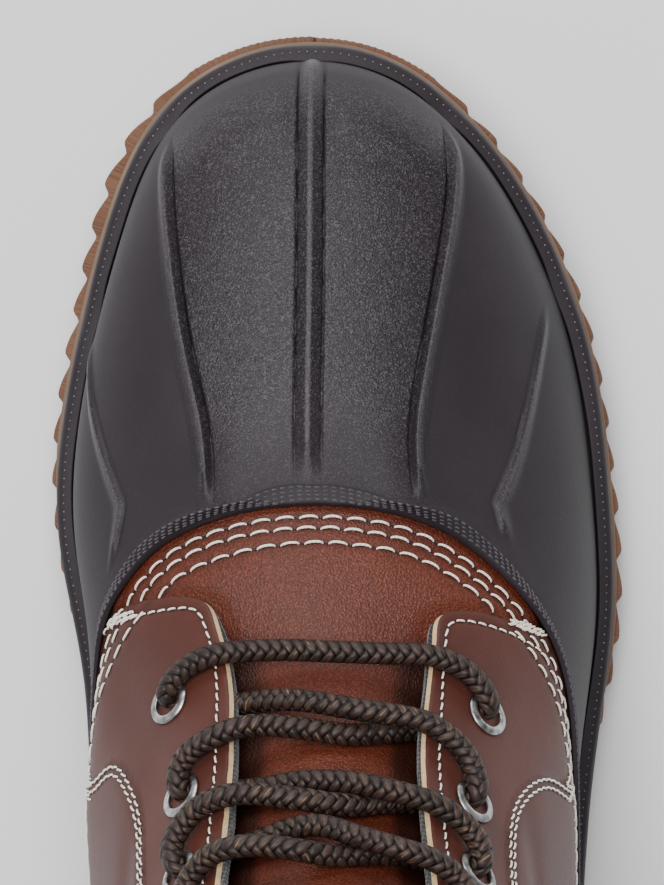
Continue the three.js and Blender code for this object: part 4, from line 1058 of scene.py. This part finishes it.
def make_shell():
    turn = shell_columns()
    rows, field, crease, crest, steep = [], [], [], [], []

    def row(p, f=0.0, dark=0.0, lit=0.0, wall=0.0):
        rows.append(p)
        steep.append(np.broadcast_to(wall, turn.shape))
        field.append(np.broadcast_to(f, turn.shape))
        crease.append(np.broadcast_to(dark, turn.shape))
        crest.append(np.broadcast_to(lit, turn.shape))
    # the rim is pulled in a little where a rib ends
    wave = .12 * np.sin(np.radians(turn) * 9) + .08 * np.sin(np.radians(turn) * 23 + 1)
    kink = sum(np.exp(-((turn - at) / wide) ** 2) for at, wide in ((0, 3.2), (24.5, 2.6), (-22, 2.6), (49, 2.6), (-46.5, 2.6)))
    bead = [(-2.5, -2.1), (1.9, -2.1), (2.75, -2.0), (3.12, -1.6), (3.3, -.9), (3.34, -.1), (3.25, .7), (3.0, 1.4), (2.6, 1.9),
            (2.0, 2.2), (1.4, 2.36), (.9, 2.46), (.5, 2.55), (.28, 2.5), (.16, 2.25), (.12, 1.8), (.08, 1.45)]
    for o, up in bead:
        top = smooth(-1, 1.5, up)
        row(rim_point(turn, o + (wave - .5 * kink if o < 1 and up > 0 else -.3 * kink * top), up - .15 * kink * top), .12)
    row(rim_point(turn, -.12, 1.3), 0)
    band = band_line(turn, 0)[0]
    first = 2.25 / per_level(.03, turn)
    paths = [rib_path(i) for i in range(5)]
    order = [4, 2, 0, 1, 3]
    anchors = np.array([-180, -80] + [float(paths[i](.55)) for i in order] + [80, 180])

    def follow(level):
        """Columns lean with the ribs, so that a rib never crosses them."""
        lean = np.stack([np.zeros_like(turn)] * 2 + [paths[i](level) - float(paths[i](.55)) for i in order] + [np.zeros_like(turn)] * 2)
        k = np.clip(np.searchsorted(anchors, turn, side="right") - 1, 0, len(anchors) - 2)
        f = (turn - anchors[k]) / (anchors[k + 1] - anchors[k])
        c = np.arange(len(turn))
        return turn + mix(lean[k, c], lean[k + 1, c], f)

    def field_at(level, t):
        between = smooth(1.5, -1.5, t - paths[1](level)) * smooth(1.5, -1.5, paths[2](level) - t)
        return between * smooth(.14, .23, level)
    for f in np.concatenate([[0, .015, .035, .06, .09], np.linspace(.12, .96, 62), [.975, .985]]):
        level = mix(first, band, f)
        t = follow(level)
        h, lit, dark = rib_relief(level, t)
        # the wall swells a little towards a band that stands well off it
        h = h + .62 * np.maximum(band_proud(aside(t)) - 1.2, 0) * smooth(.72, 1, f)
        # the last value is how steep the wall is, used for the painted shade on steep walls
        row(skin(level, t, h), np.maximum(field_at(level, t) * mix(1, .4, smooth(.74, .97, f)), lit * .9) + .1, dark, lit, 1 - outward(level, t)[..., 2])
    # band with rounded edges; its face between them carries painted shade among the knurled wedges
    last = follow(band)
    for share, off in ((.05, -.95), (.02, -.6), (.045, -.25), (.12, -.04), (.27, 0), (.5, .02), (.74, 0), (.88, -.04), (.95, -.18), (.985, -.42), (1, -.7)):
        level, face = band_line(last, share)
        row(skin(level, last, face + off), .1, .5 * smooth(.06, .12, share) * smooth(.94, .88, share))
    row(skin(1.0, last, -.4), .1)
    row(skin(edge_level(turn, -1.5), turn, -.42), .1)
    row(skin(band, turn, -.42), .1)
    for f in (.975, .95, .86, .75, .63, .5, .38, .26, .15, .05):
        row(skin(band * f, turn, -RUBBER_WALL), .15)
    part = Part()
    part.grid(np.stack(rows), wrap=True, close=True, field=np.stack(field), crease=np.stack(crease), crest=np.stack(crest), steep=np.stack(steep))
    build("rubber_shell", part, RUBBER, ["shell"], sharp=60)

    # knurled rows of the band: low wedges, staggered
    t = np.linspace(-180, 180, 2881)
    wedges = Part()
    for k, share in enumerate((.2, .4, .6, .8)):
        def face(q):
            level, off = band_line(t, q)
            return skin(level, t, off - .02)
        P = face(share)
        N = unit(np.cross(np.gradient(P, axis=0), face(share + .08) - face(share - .08)))
        s = run_of(P)
        c = (np.arange(int(s[-1] / WEDGE_PITCH)) + .5 * (k % 2)) * (s[-1] / int(s[-1] / WEDGE_PITCH))
        pick = lambda a, at: np.stack([np.interp(at % s[-1], s, a[:, i]) for i in range(3)], -1)
        C, Z = pick(P, c), unit(pick(N, c))
        A = unit(pick(P, c + .2) - pick(P, c - .2))
        B = np.cross(Z, A)
        shape = [(-.62, -.04, -.1), (-.5, .22, -.1), (.55, .3, -.1), (.62, -.3, -.1), (-.5, -.24, -.1), (-.15, -.05, .12), (.42, .0, .26), (.46, -.16, .24)]
        V = np.stack([C + A * a + B * b + Z * z for a, b, z in shape], 1)
        faces = np.array([(0, 4, 5, 5), (4, 3, 7, 5), (3, 2, 6, 7), (2, 1, 5, 6), (1, 0, 5, 5), (5, 7, 6, 6)])
        n = len(C)
        for f in faces:
            keep = [f[0]] + [f[i] for i in range(1, 4) if f[i] != f[i - 1]]
            wedges.f.append((np.array(keep)[None] + 8 * np.arange(n)[:, None] + wedges.n, np.zeros((n, len(keep), 2)), np.zeros(n, int)))
        wedges.v.append(V.reshape(-1, 3))
        wedges.n += 8 * n
    build("band_knurl", wedges, KNURL, sharp=30)

    # fine dots along the crown of the rim bead
    P = rim_point(t, 1.85, 2.36)
    s = run_of(P)
    c = np.arange(int(s[-1] / 1.66)) * 1.66
    C = np.stack([np.interp(c, s, P[:, i]) for i in range(3)], -1)
    dots = Part()
    a = np.linspace(0, 2 * np.pi, 7)[:-1]
    ring = lambda r, z: C[:, None] + np.stack([r * np.cos(a), r * np.sin(a), np.full(6, z)], -1)[None]
    V = np.concatenate([ring(.17, -.05), ring(.12, .06), C[:, None] + np.array([0, 0, .1])], 1)
    n = len(C)
    idx = 13 * np.arange(n)[:, None]
    quads = np.concatenate([idx + np.array([i, (i + 1) % 6, 6 + (i + 1) % 6, 6 + i]) for i in range(6)])
    tris = np.concatenate([idx + np.array([6 + i, 6 + (i + 1) % 6, 12]) for i in range(6)])
    dots.add(V.reshape(-1, 3), quads)
    dots.f.append((tris, np.zeros((len(tris), 3, 2)), np.zeros(len(tris), int)))
    build("rim_dots", dots, DOTS)


# ---------- leather ----------
def cut_turn(level, turn):
    """Turn of the quarter's cut edge at a level, on the side that a turn lies on."""
    t180 = (np.asarray(turn) + 180) % 360 - 180
    return np.where(t180 >= 0, cut_edge_turn[0](level), cut_edge_turn[1](level))


def vamp_offset(level, turn):
    past = np.abs(turn) - cut_turn(level, turn)
    lap = mix(VAMP_FACE, LEATHER_FACE - QUARTER_LEATHER - .05, smooth(-4, -.3, past))
    lap = mix(lap, VAMP_LAPPED, smooth(.6, 4.5, past))
    tongue = mix(TONGUE_CREST, TONGUE_SIDE, smooth(0, 22, np.abs(turn)))
    return mix(lap, tongue, smooth(1.05, 1.22, level))


def vamp_relief(level, turn):
    up = row_distance(level, turn)
    out, near = crease_relief(level, turn) * smooth(1.0, 1.03, level), np.zeros(np.broadcast(level, turn).shape)
    # grooves under the three stitch rows, also darkened in the leather's colour as painted shade
    for r in SHELL_ROWS:
        g = np.exp(-((up - r) / .85) ** 2)
        out, near = out - .2 * g, np.maximum(near, g)
    out = out - .25 * smooth(.9, 0, up)
    # the tongue lies in the shade of the quarters beside them
    past = np.abs(turn) - cut_turn(level, turn)
    shade = smooth(-9, -1, past) * smooth(1.12, 1.2, level)
    return out, near, shade


def make_vamp():
    n_rows, n_cols = 190, 132
    first = np.linspace(-1, 1, n_cols) * float(tongue_edge(1.0))
    low = edge_level(first, -TUCK)
    base = np.concatenate([np.linspace(0, 1, 7)[:-1], 1 + np.linspace(0, 1, n_rows - 6)])
    share = np.linspace(-1, 1, n_cols)
    level = np.where(base[:, None] < 1, mix(low[None], 1, base[:, None]), mix(1, 2.03, (base[:, None] - 1) ** 1.12))
    turn = share[None] * tongue_edge(np.maximum(level, 1))
    rel, near, shade = vamp_relief(level, turn)
    off = vamp_offset(level, turn) + rel
    n = outward(level, turn)
    p = form(level, turn)
    # rounded free edges of the tongue
    side = (1 - np.abs(share))[None] * tongue_edge(np.maximum(level, 1)) * .9
    roll = .5 * smooth(.9, 0, side) + .5 * smooth(2.015, 2.03, level)
    outer, inner = p + n * (off - roll)[..., None], p + n * (off - VAMP_WALL + roll * .6)[..., None]
    part = Part()
    part.sheet(outer, inner, seam=near, shade=shade)
    build("vamp_and_tongue", part, VAMP, ["vamp_tongue"], sharp=70)


def quarter_grid(rows_n, start_mm, edges, ahead=None, fine=.62, wide=1.35):
    """Turns and levels of a quarter-shaped grid, close together near the throat; edges gives the turn of its end on each side."""
    k = np.linspace(0, 1, rows_n)
    # columns: distances in from the throat in degrees, dense near it and near the panel seam
    a = np.concatenate([[0, .1, .3, .6, 1.0], np.arange(1.5, 50, fine), np.arange(50.6, 156, wide)])
    a = a / a[-1] * .5
    share = np.concatenate([a, 1 - a[::-1][1:]])
    base = np.concatenate([np.linspace(0, 1, 6)[:-1], 1 + k])
    upper = mix(1, 2.0, (base[:, None] - 1) ** 1.1)
    level0 = np.where(base[:, None] < 1, .93 + .07 * base[:, None], upper)
    near, far = edges[0](level0), edges[1](level0)
    if ahead is not None:
        near = near - ahead(level0) / np.maximum(per_degree(level0, near), .4)
        far = far - ahead(level0) / np.maximum(per_degree(level0, -far), .4)
    turn = mix(near, 360 - far, share[None])
    level = np.where(base[:, None] < 1, mix(edge_level(turn, start_mm), 1, base[:, None]), level0)
    return np.broadcast_to(level, turn.shape), turn


def make_quarters():
    level, turn = quarter_grid(132, -TUCK, cut_edge_turn)
    rel, near = quarter_relief(level, turn)
    n, p = outward(level, turn), form(level, turn)
    roll = .55 * smooth(1.988, 2.0, level) ** 2
    outer = p + n * (LEATHER_FACE + rel - roll)[..., None]
    # the throat edge is cut at a slant, so that its pale side shows from the front
    level2, turn2 = quarter_grid(132, -TUCK, cut_edge_turn, lambda w: mix(.08, .5, smooth(1.08, 1.14, w)))
    n2, p2 = outward(level2, turn2), form(level2, turn2)
    inner = p2 + n2 * (LEATHER_FACE - QUARTER_LEATHER + np.minimum(rel, .1) * .3)[..., None]
    part = Part()
    part.sheet(outer, inner, number=0, edge_number=1, seam=near)
    build("leather_quarters", part, [QUARTER, EDGE], ["upper"], sharp=60)

    # lining behind the leather, showing beyond the cut edge at the throat, lifted a little at the collar
    level, turn = quarter_grid(84, -2.6, lining_edge_turn, fine=1.1, wide=1.8)
    n, p = outward(level, turn), form(level, turn)
    wave = .12 * np.sin(level * 90 + turn * .3)
    lift = .3 * smooth(1.97, 2.0, level)
    outer = p + n * (LEATHER_FACE - QUARTER_LEATHER - .04 + lift)[..., None]
    inner = p + n * (LEATHER_FACE - QUARTER_WALL - .02 + wave * .4)[..., None]
    part = Part()
    part.sheet(outer, inner)
    build("black_lining", part, LINING, sharp=60)


def make_stitches():
    part, hole_shade = Part(), Part()
    # three rows round the shell's edge: over the vamp and on along both quarters
    for k, r in enumerate(SHELL_ROWS):
        t = np.linspace(-180, 180, 1441)
        lv = edge_level(t, r)
        on_quarter = np.abs(t) > cut_turn(lv, t) + .6
        # vamp stretch
        lim = 44.0
        tv = t[(np.abs(t) < lim) & ~on_quarter]
        lvv = edge_level(tv, r)
        rel = vamp_relief(lvv, tv)[0]
        P, N = skin(lvv, tv, vamp_offset(lvv, tv) + rel), outward(lvv, tv)
        stitch_row(part, hole_shade, *even(P, N), 4.5, 4.05, r=.25, lift=.38, bow=-.36, slant=.08, start=.45 + .25 * k)
        for side in (1, -1):
            pick = on_quarter & (t * side > 0)
            tq = np.sort(np.abs(t[pick])) * side
            lq = edge_level(tq, r)
            P, N = quarter_line(lq, tq)
            stitch_row(part, hole_shade, *even(P, N), 4.2, 3.5, r=.24, lift=.32, bow=.25, slant=.1, start=.6 + .2 * k)
    for side in (1, -1):
        lv = np.linspace(1.03, 1.985, 900)
        cut = cut_turn(lv, np.full(900, side))
        deg = np.maximum(per_degree(lv, side * cut), .5)
        # the row keeps its inset square to the edge
        slope = np.gradient(cut, lv)
        square = np.cos(np.arctan(slope * deg / per_level(lv, side * cut)))
        tr = side * (cut + inset(lv) / deg / np.maximum(square, .3))
        P, N = quarter_line(lv, tr)
        stitch_row(part, hole_shade, *even(P, N), 2.5, 2.0, r=.21, lift=.27, slant=.12 * side)
        seam = panel_seam[0 if side > 0 else 1]
        for j, gap in enumerate((.8, 2.2)):
            lv = np.linspace(1.062, 1.985, 1200)
            ts = seam(lv)
            deg, lev = per_degree(lv, side * ts), per_level(lv, side * ts)
            slope = np.gradient(ts, lv) * deg / lev
            dn = np.sqrt(1 + slope ** 2)
            # a step of `gap` square to the seam, towards the back
            l2, t2 = lv - gap * slope / dn / lev, ts + gap / dn / deg
            P, N = quarter_line(l2, side * t2)
            stitch_row(part, hole_shade, *even(P, N), 2.45, 2.05, r=.22, lift=.3, slant=.2 * side, start=.5 + .4 * j)
        # bar tacks at the corner of the quarter and at the foot of the panel seam
        tack = TACKS[0 if side > 0 else 1]
        for path in (tack, [(a - .008, b + .4) for a, b in tack[1:]], [(1.045, 57.4), (1.085, 56.4), (1.05, 59.2), (1.09, 58.2)]):
            L = np.interp(np.linspace(0, len(path) - 1, 160), np.arange(len(path)), [q[0] for q in path])
            A = np.interp(np.linspace(0, len(path) - 1, 160), np.arange(len(path)), [q[1] for q in path])
            P, N = quarter_line(L, side * A)
            stitch_row(part, hole_shade, *even(P, N, .15), 1.9, 1.75, r=.22, lift=.42, slant=.25)
    build("stitching", part, THREAD, sharp=None)
    build("stitch_hole_shade", hole_shade, HOLE_SHADE, sharp=None)


# ---------- eyelets ----------
def make_eyelets():
    names = ["eyelet_medial_%d" % (i + 1) for i in range(5)] + ["eyelet_lateral_%d" % (i + 1) for i in range(5)]
    prof = [(2.8, -2.45), (3.4, -2.5), (3.6, -2.3), (3.3, -2.0), (3.3, -.4), (3.3, .0), (4.4, .02), (4.6, .1), (4.66, .28), (4.55, .5), (4.2, .72),
            (3.8, .9), (3.45, .96), (3.15, .88), (2.95, .65), (2.86, .3), (2.82, -.6), (2.8, -2.0)]
    a = np.linspace(0, 2 * np.pi, 49)[:-1]
    for i, name in enumerate(names):
        side, level, turn = EYELETS["side"][i], EYELETS["level"][i], EYELETS["side"][i] * EYELETS["turn"][i]
        n = outward(level, turn)
        at = form(level, turn) + n * LEATHER_FACE
        x = unit(np.cross(n, (0, 0, 1)))
        y = np.cross(n, x)
        P = np.stack([at + x * (r * np.cos(a))[:, None] + y * (r * np.sin(a))[:, None] + n * h for r, h in prof])
        part = Part()
        part.grid(P, wrap=True, close=True)
        build(name.replace("eyelet_", "metal_eyelet_"), part, NICKEL, [name], sharp=50)


# ---------- lace ----------
# lace over the throat, a row for each point: level, turn, height off the form; it sinks into the eyelet after the last point
BAR = table("level turn off", (1.187, 27.2, 1.6), (1.187, 23.7, 1.6), (1.193, 19, 1.4), (1.2, 14, -.1), (1.207, 7, -1.5), (1.213, -.7, -1.9), (1.21, -9, -1.3),
            (1.2, -16.6, .6), (1.197, -21.7, 1.5), (1.2, -26, 1.6))
CROSS_1_OVER = table("level turn off", (1.227, 23.7, -5.3), (1.253, 17.7, -4.3), (1.273, 11.3, -3.0), (1.29, 5, -1.8), (1.313, -4.7, -.4), (1.313, -14.3, .7), (1.31, -19.3, 1.5),
                     (1.313, -25.3, 1.6), (1.327, -29.8, 1.6))
CROSS_1_UNDER = table("level turn off", (1.262, -25.5, -5.8), (1.278, -20.7, -5.6), (1.308, -13.3, -5.2), (1.331, -4.7, -4.7), (1.33, 5.3, -3), (1.323, 11.7, -1.4), (1.32, 17.3, .7),
                      (1.316, 22.7, 1.5), (1.31, 28, 1.6), (1.314, 31.2, 1.6))
CROSS_2_OVER = table("level turn off", (1.36, 26.3, -5.6), (1.4, 16.3, -4.7), (1.42, 6.3, -3.3), (1.433, -4.7, -1.8), (1.443, -15.7, .3), (1.44, -22.3, 1.5), (1.434, -27, 1.6),
                     (1.432, -31.6, 1.6), (1.443, -35.4, 1.6))
CROSS_2_UNDER = table("level turn off", (1.37, -27.5, -5.8), (1.39, -23.7, -5.6), (1.426, -14.5, -5.3), (1.455, -5, -4.7), (1.463, 6, -1.9), (1.436, 18.7, .8), (1.425, 23, 1.5),
                      (1.408, 29.3, 1.6), (1.407, 34.6, 1.6), (1.42, 38, 1.6))
CROSS_3_OVER = table("level turn off", (1.447, 31, -5.8), (1.485, 19, -5.0), (1.5, 9.7, -3.7), (1.513, 2, -2.3), (1.543, -7.3, -.9), (1.557, -16.3, .8), (1.55, -23.3, 1.5),
                     (1.545, -30, 1.6), (1.572, -35.5, 1.6), (1.602, -38.4, 1.6))
CROSS_3_UNDER = table("level turn off", (1.475, -28, -5.8), (1.492, -24, -5.4), (1.53, -12.3, -5.1), (1.553, -1.3, -4.6), (1.562, 7, -1.9), (1.549, 14, -.4), (1.532, 21.5, 1.2),
                      (1.512, 28.3, 1.6), (1.515, 34.5, 1.6), (1.545, 38.6, 1.6), (1.574, 39.8, 1.6))
CROSS_4_OVER = table("level turn off", (1.63, 33, -5.8), (1.655, 21, -5.1), (1.675, 10, -3.6), (1.69, 2, -2.3), (1.705, -7.3, -.9), (1.715, -16.5, .8), (1.715, -24, 1.5),
                     (1.72, -31, 1.6), (1.746, -36.6, 1.6), (1.775, -39.6, 1.6))
CROSS_4_UNDER = table("level turn off", (1.66, -30, -5.8), (1.675, -24, -5.4), (1.7, -12.3, -5.1), (1.72, -1.3, -4.6), (1.725, 7, -1.9), (1.715, 15, -.2), (1.7, 22, 1.3),
                      (1.69, 29, 1.6), (1.71, 36, 1.6), (1.75, 39.8, 1.6))


def place(rows):
    return skin(rows["level"], rows["turn"], rows["off"])


def through(i, start_in=False):
    """Points from above an eyelet's hole down through it to the inside."""
    level, turn = EYELETS["level"][i], EYELETS["side"][i] * EYELETS["turn"][i]
    n = outward(level, turn)
    # the lace lies against the side of the hole that faces the throat and the toe
    at = form(level, turn) + LACE_IN_HOLE * unit(form(level - .012, turn * .93) - form(level, turn))
    return np.stack([at + n * .5, at - n * 1.9, at - n * 4.4])


def catmull(points, per=24):
    p = np.concatenate([[2 * points[0] - points[1]], points, [2 * points[-1] - points[-2]]])
    out = []
    for i in range(1, len(p) - 2):
        a, b, c, d = p[i - 1], p[i], p[i + 1], p[i + 2]
        ta = np.linalg.norm(b - a) ** .5
        tb = ta + np.linalg.norm(c - b) ** .5
        tc = tb + np.linalg.norm(d - c) ** .5
        t = np.linspace(ta, tb, per, endpoint=False)[:, None]
        a1 = a * (ta - t) / ta + b * t / ta
        a2 = b * (tb - t) / (tb - ta) + c * (t - ta) / (tb - ta)
        a3 = c * (tc - t) / (tc - tb) + d * (t - tb) / (tc - tb)
        b1 = a1 * (tb - t) / tb + a2 * t / tb
        b2 = a2 * (tc - t) / (tc - ta) + a3 * (t - ta) / (tc - ta)
        out.append(b1 * (tb - t) / (tb - ta) + b2 * (t - ta) / (tb - ta))
    return np.concatenate(out + [p[-2][None]])


def make_lace():
    med, lat = [0, 1, 2, 3, 4], [5, 6, 7, 8, 9]
    over = [CROSS_1_OVER, CROSS_2_OVER, CROSS_3_OVER, CROSS_4_OVER]
    under = [CROSS_1_UNDER, CROSS_2_UNDER, CROSS_3_UNDER, CROSS_4_UNDER]
    bar = place(BAR)

    # one lace: chain away from the medial end of the bar, and from the lateral end
    def chain(first_side):
        pts, cuts = [], []
        here = first_side
        start = med[0] if here > 0 else lat[0]
        pts.append(through(start))
        for i in range(4):
            table_i = over[i] if here > 0 else under[i]
            pts.append(place(table_i))
            here = -here
            nxt = med[i + 1] if here > 0 else lat[i + 1]
            pts.append(through(nxt))
        return pts
    a, b = chain(1), chain(-1)
    blocks = [q[::-1] for q in a[::-1]] + [bar] + b
    tags = [None] * len(blocks)
    points = np.concatenate(blocks)
    # piece of each block: crossings count up from the bar
    marks, count = [], 0
    for q in blocks:
        marks.append(count + len(q) // 2)
        count += len(q)
    line = catmull(points)
    s = run_of(line)
    knots = s[np.minimum(np.arange(len(points)) * 24, len(s) - 1)]
    step = .3
    at = np.arange(0, s[-1], step)
    C = np.stack([np.interp(at, s, line[:, i]) for i in range(3)], -1)
    # a light smoothing keeps the bends round
    for _ in range(14):
        C[1:-1] = C[1:-1] * .5 + (C[:-2] + C[2:]) * .25
    T = unit(np.gradient(C, axis=0))
    N = np.zeros_like(C)
    N[0] = unit(np.cross(T[0], (0, .3, 1)))
    for i in range(1, len(C)):
        v = N[i - 1] - T[i] * np.dot(N[i - 1], T[i])
        N[i] = v / np.linalg.norm(v)
    B = np.cross(T, N)
    m = 40
    ang = np.arange(m + 1) / m
    S, A = np.meshgrid(at, ang, indexing="ij")
    right, left = A * BRAID_STRANDS + S / BRAID_PITCH, A * BRAID_STRANDS - S / BRAID_PITCH
    ir, il = np.floor(right), np.floor(left)
    fr, fl = right - ir, left - il
    phase = np.mod(ir + il, 4)
    over_r = phase < 1.5
    along = np.where(over_r, (phase + fl) / 2, (phase - 2 + fr) / 2)
    across = np.where(over_r, fr, fl)
    crown, rise = 1 - (2 * across - 1) ** 2, np.sin(np.pi * np.clip(along, 0, 1)) ** .6
    height = .5 * crown + .5 * rise
    holes_at = np.array([knots[marks[i]] for i in range(len(blocks)) if len(blocks[i]) == 3])
    squeeze = 1 - .14 * np.exp(-(np.min(np.abs(at[:, None] - holes_at[None]), axis=1) / 3.2) ** 2)
    R = (LACE_R - .14 + .26 * height) * squeeze[:, None]
    ring = C[:, None] + (N[:, None] * np.cos(2 * np.pi * ang)[None, :, None] + B[:, None] * np.sin(2 * np.pi * ang)[None, :, None]) * R[..., None]
    uv = np.stack([S, A], -1)
    # cut at the eyelets: the blocks between two eyelets are one strand
    eyelet_blocks = [i for i in range(len(blocks)) if len(blocks[i]) == 3]
    cut_s = [knots[marks[i]] for i in eyelet_blocks]
    cuts = [0] + [int(c / step) for c in cut_s[1:-1]] + [len(C) - 1]
    strands = list(zip(cuts[:-1], cuts[1:]))
    # strands in order: crossings 4, 3, 2, 1 of one chain, the bar, crossings 1, 2, 3, 4 of the other
    groups = {"bar": [4], "1": [3, 5], "2": [2, 6], "3": [1, 7], "4": [0, 8]}
    for key, members in groups.items():
        part = Part()
        for j in members:
            lo, hi = strands[j]
            P, U = ring[lo:hi + 1], uv[lo:hi + 1]
            part.grid(P[:, :-1], wrap=True, flip=False, uv=U)
            base = part.n - (hi + 1 - lo) * m
            for row, c, order in ((base, C[lo], 1), (base + (hi - lo) * m, C[hi], -1)):
                part.v.append(c[None])
                tri = np.stack([np.full(m, part.n), row + np.roll(np.arange(m), -1), row + np.arange(m)], -1)[:, ::order]
                part.f.append((tri, np.zeros((m, 3, 2)), np.zeros(m, int)))
                part.n += 1
        node = "lace_bar_1" if key == "bar" else "lace_cross_" + key
        build("braided_" + node, part, BRAID, [node], sharp=None)


make_outsole()
make_strip()
make_insole()
make_shell()
make_vamp()
make_quarters()
make_stitches()
make_eyelets()
make_lace()
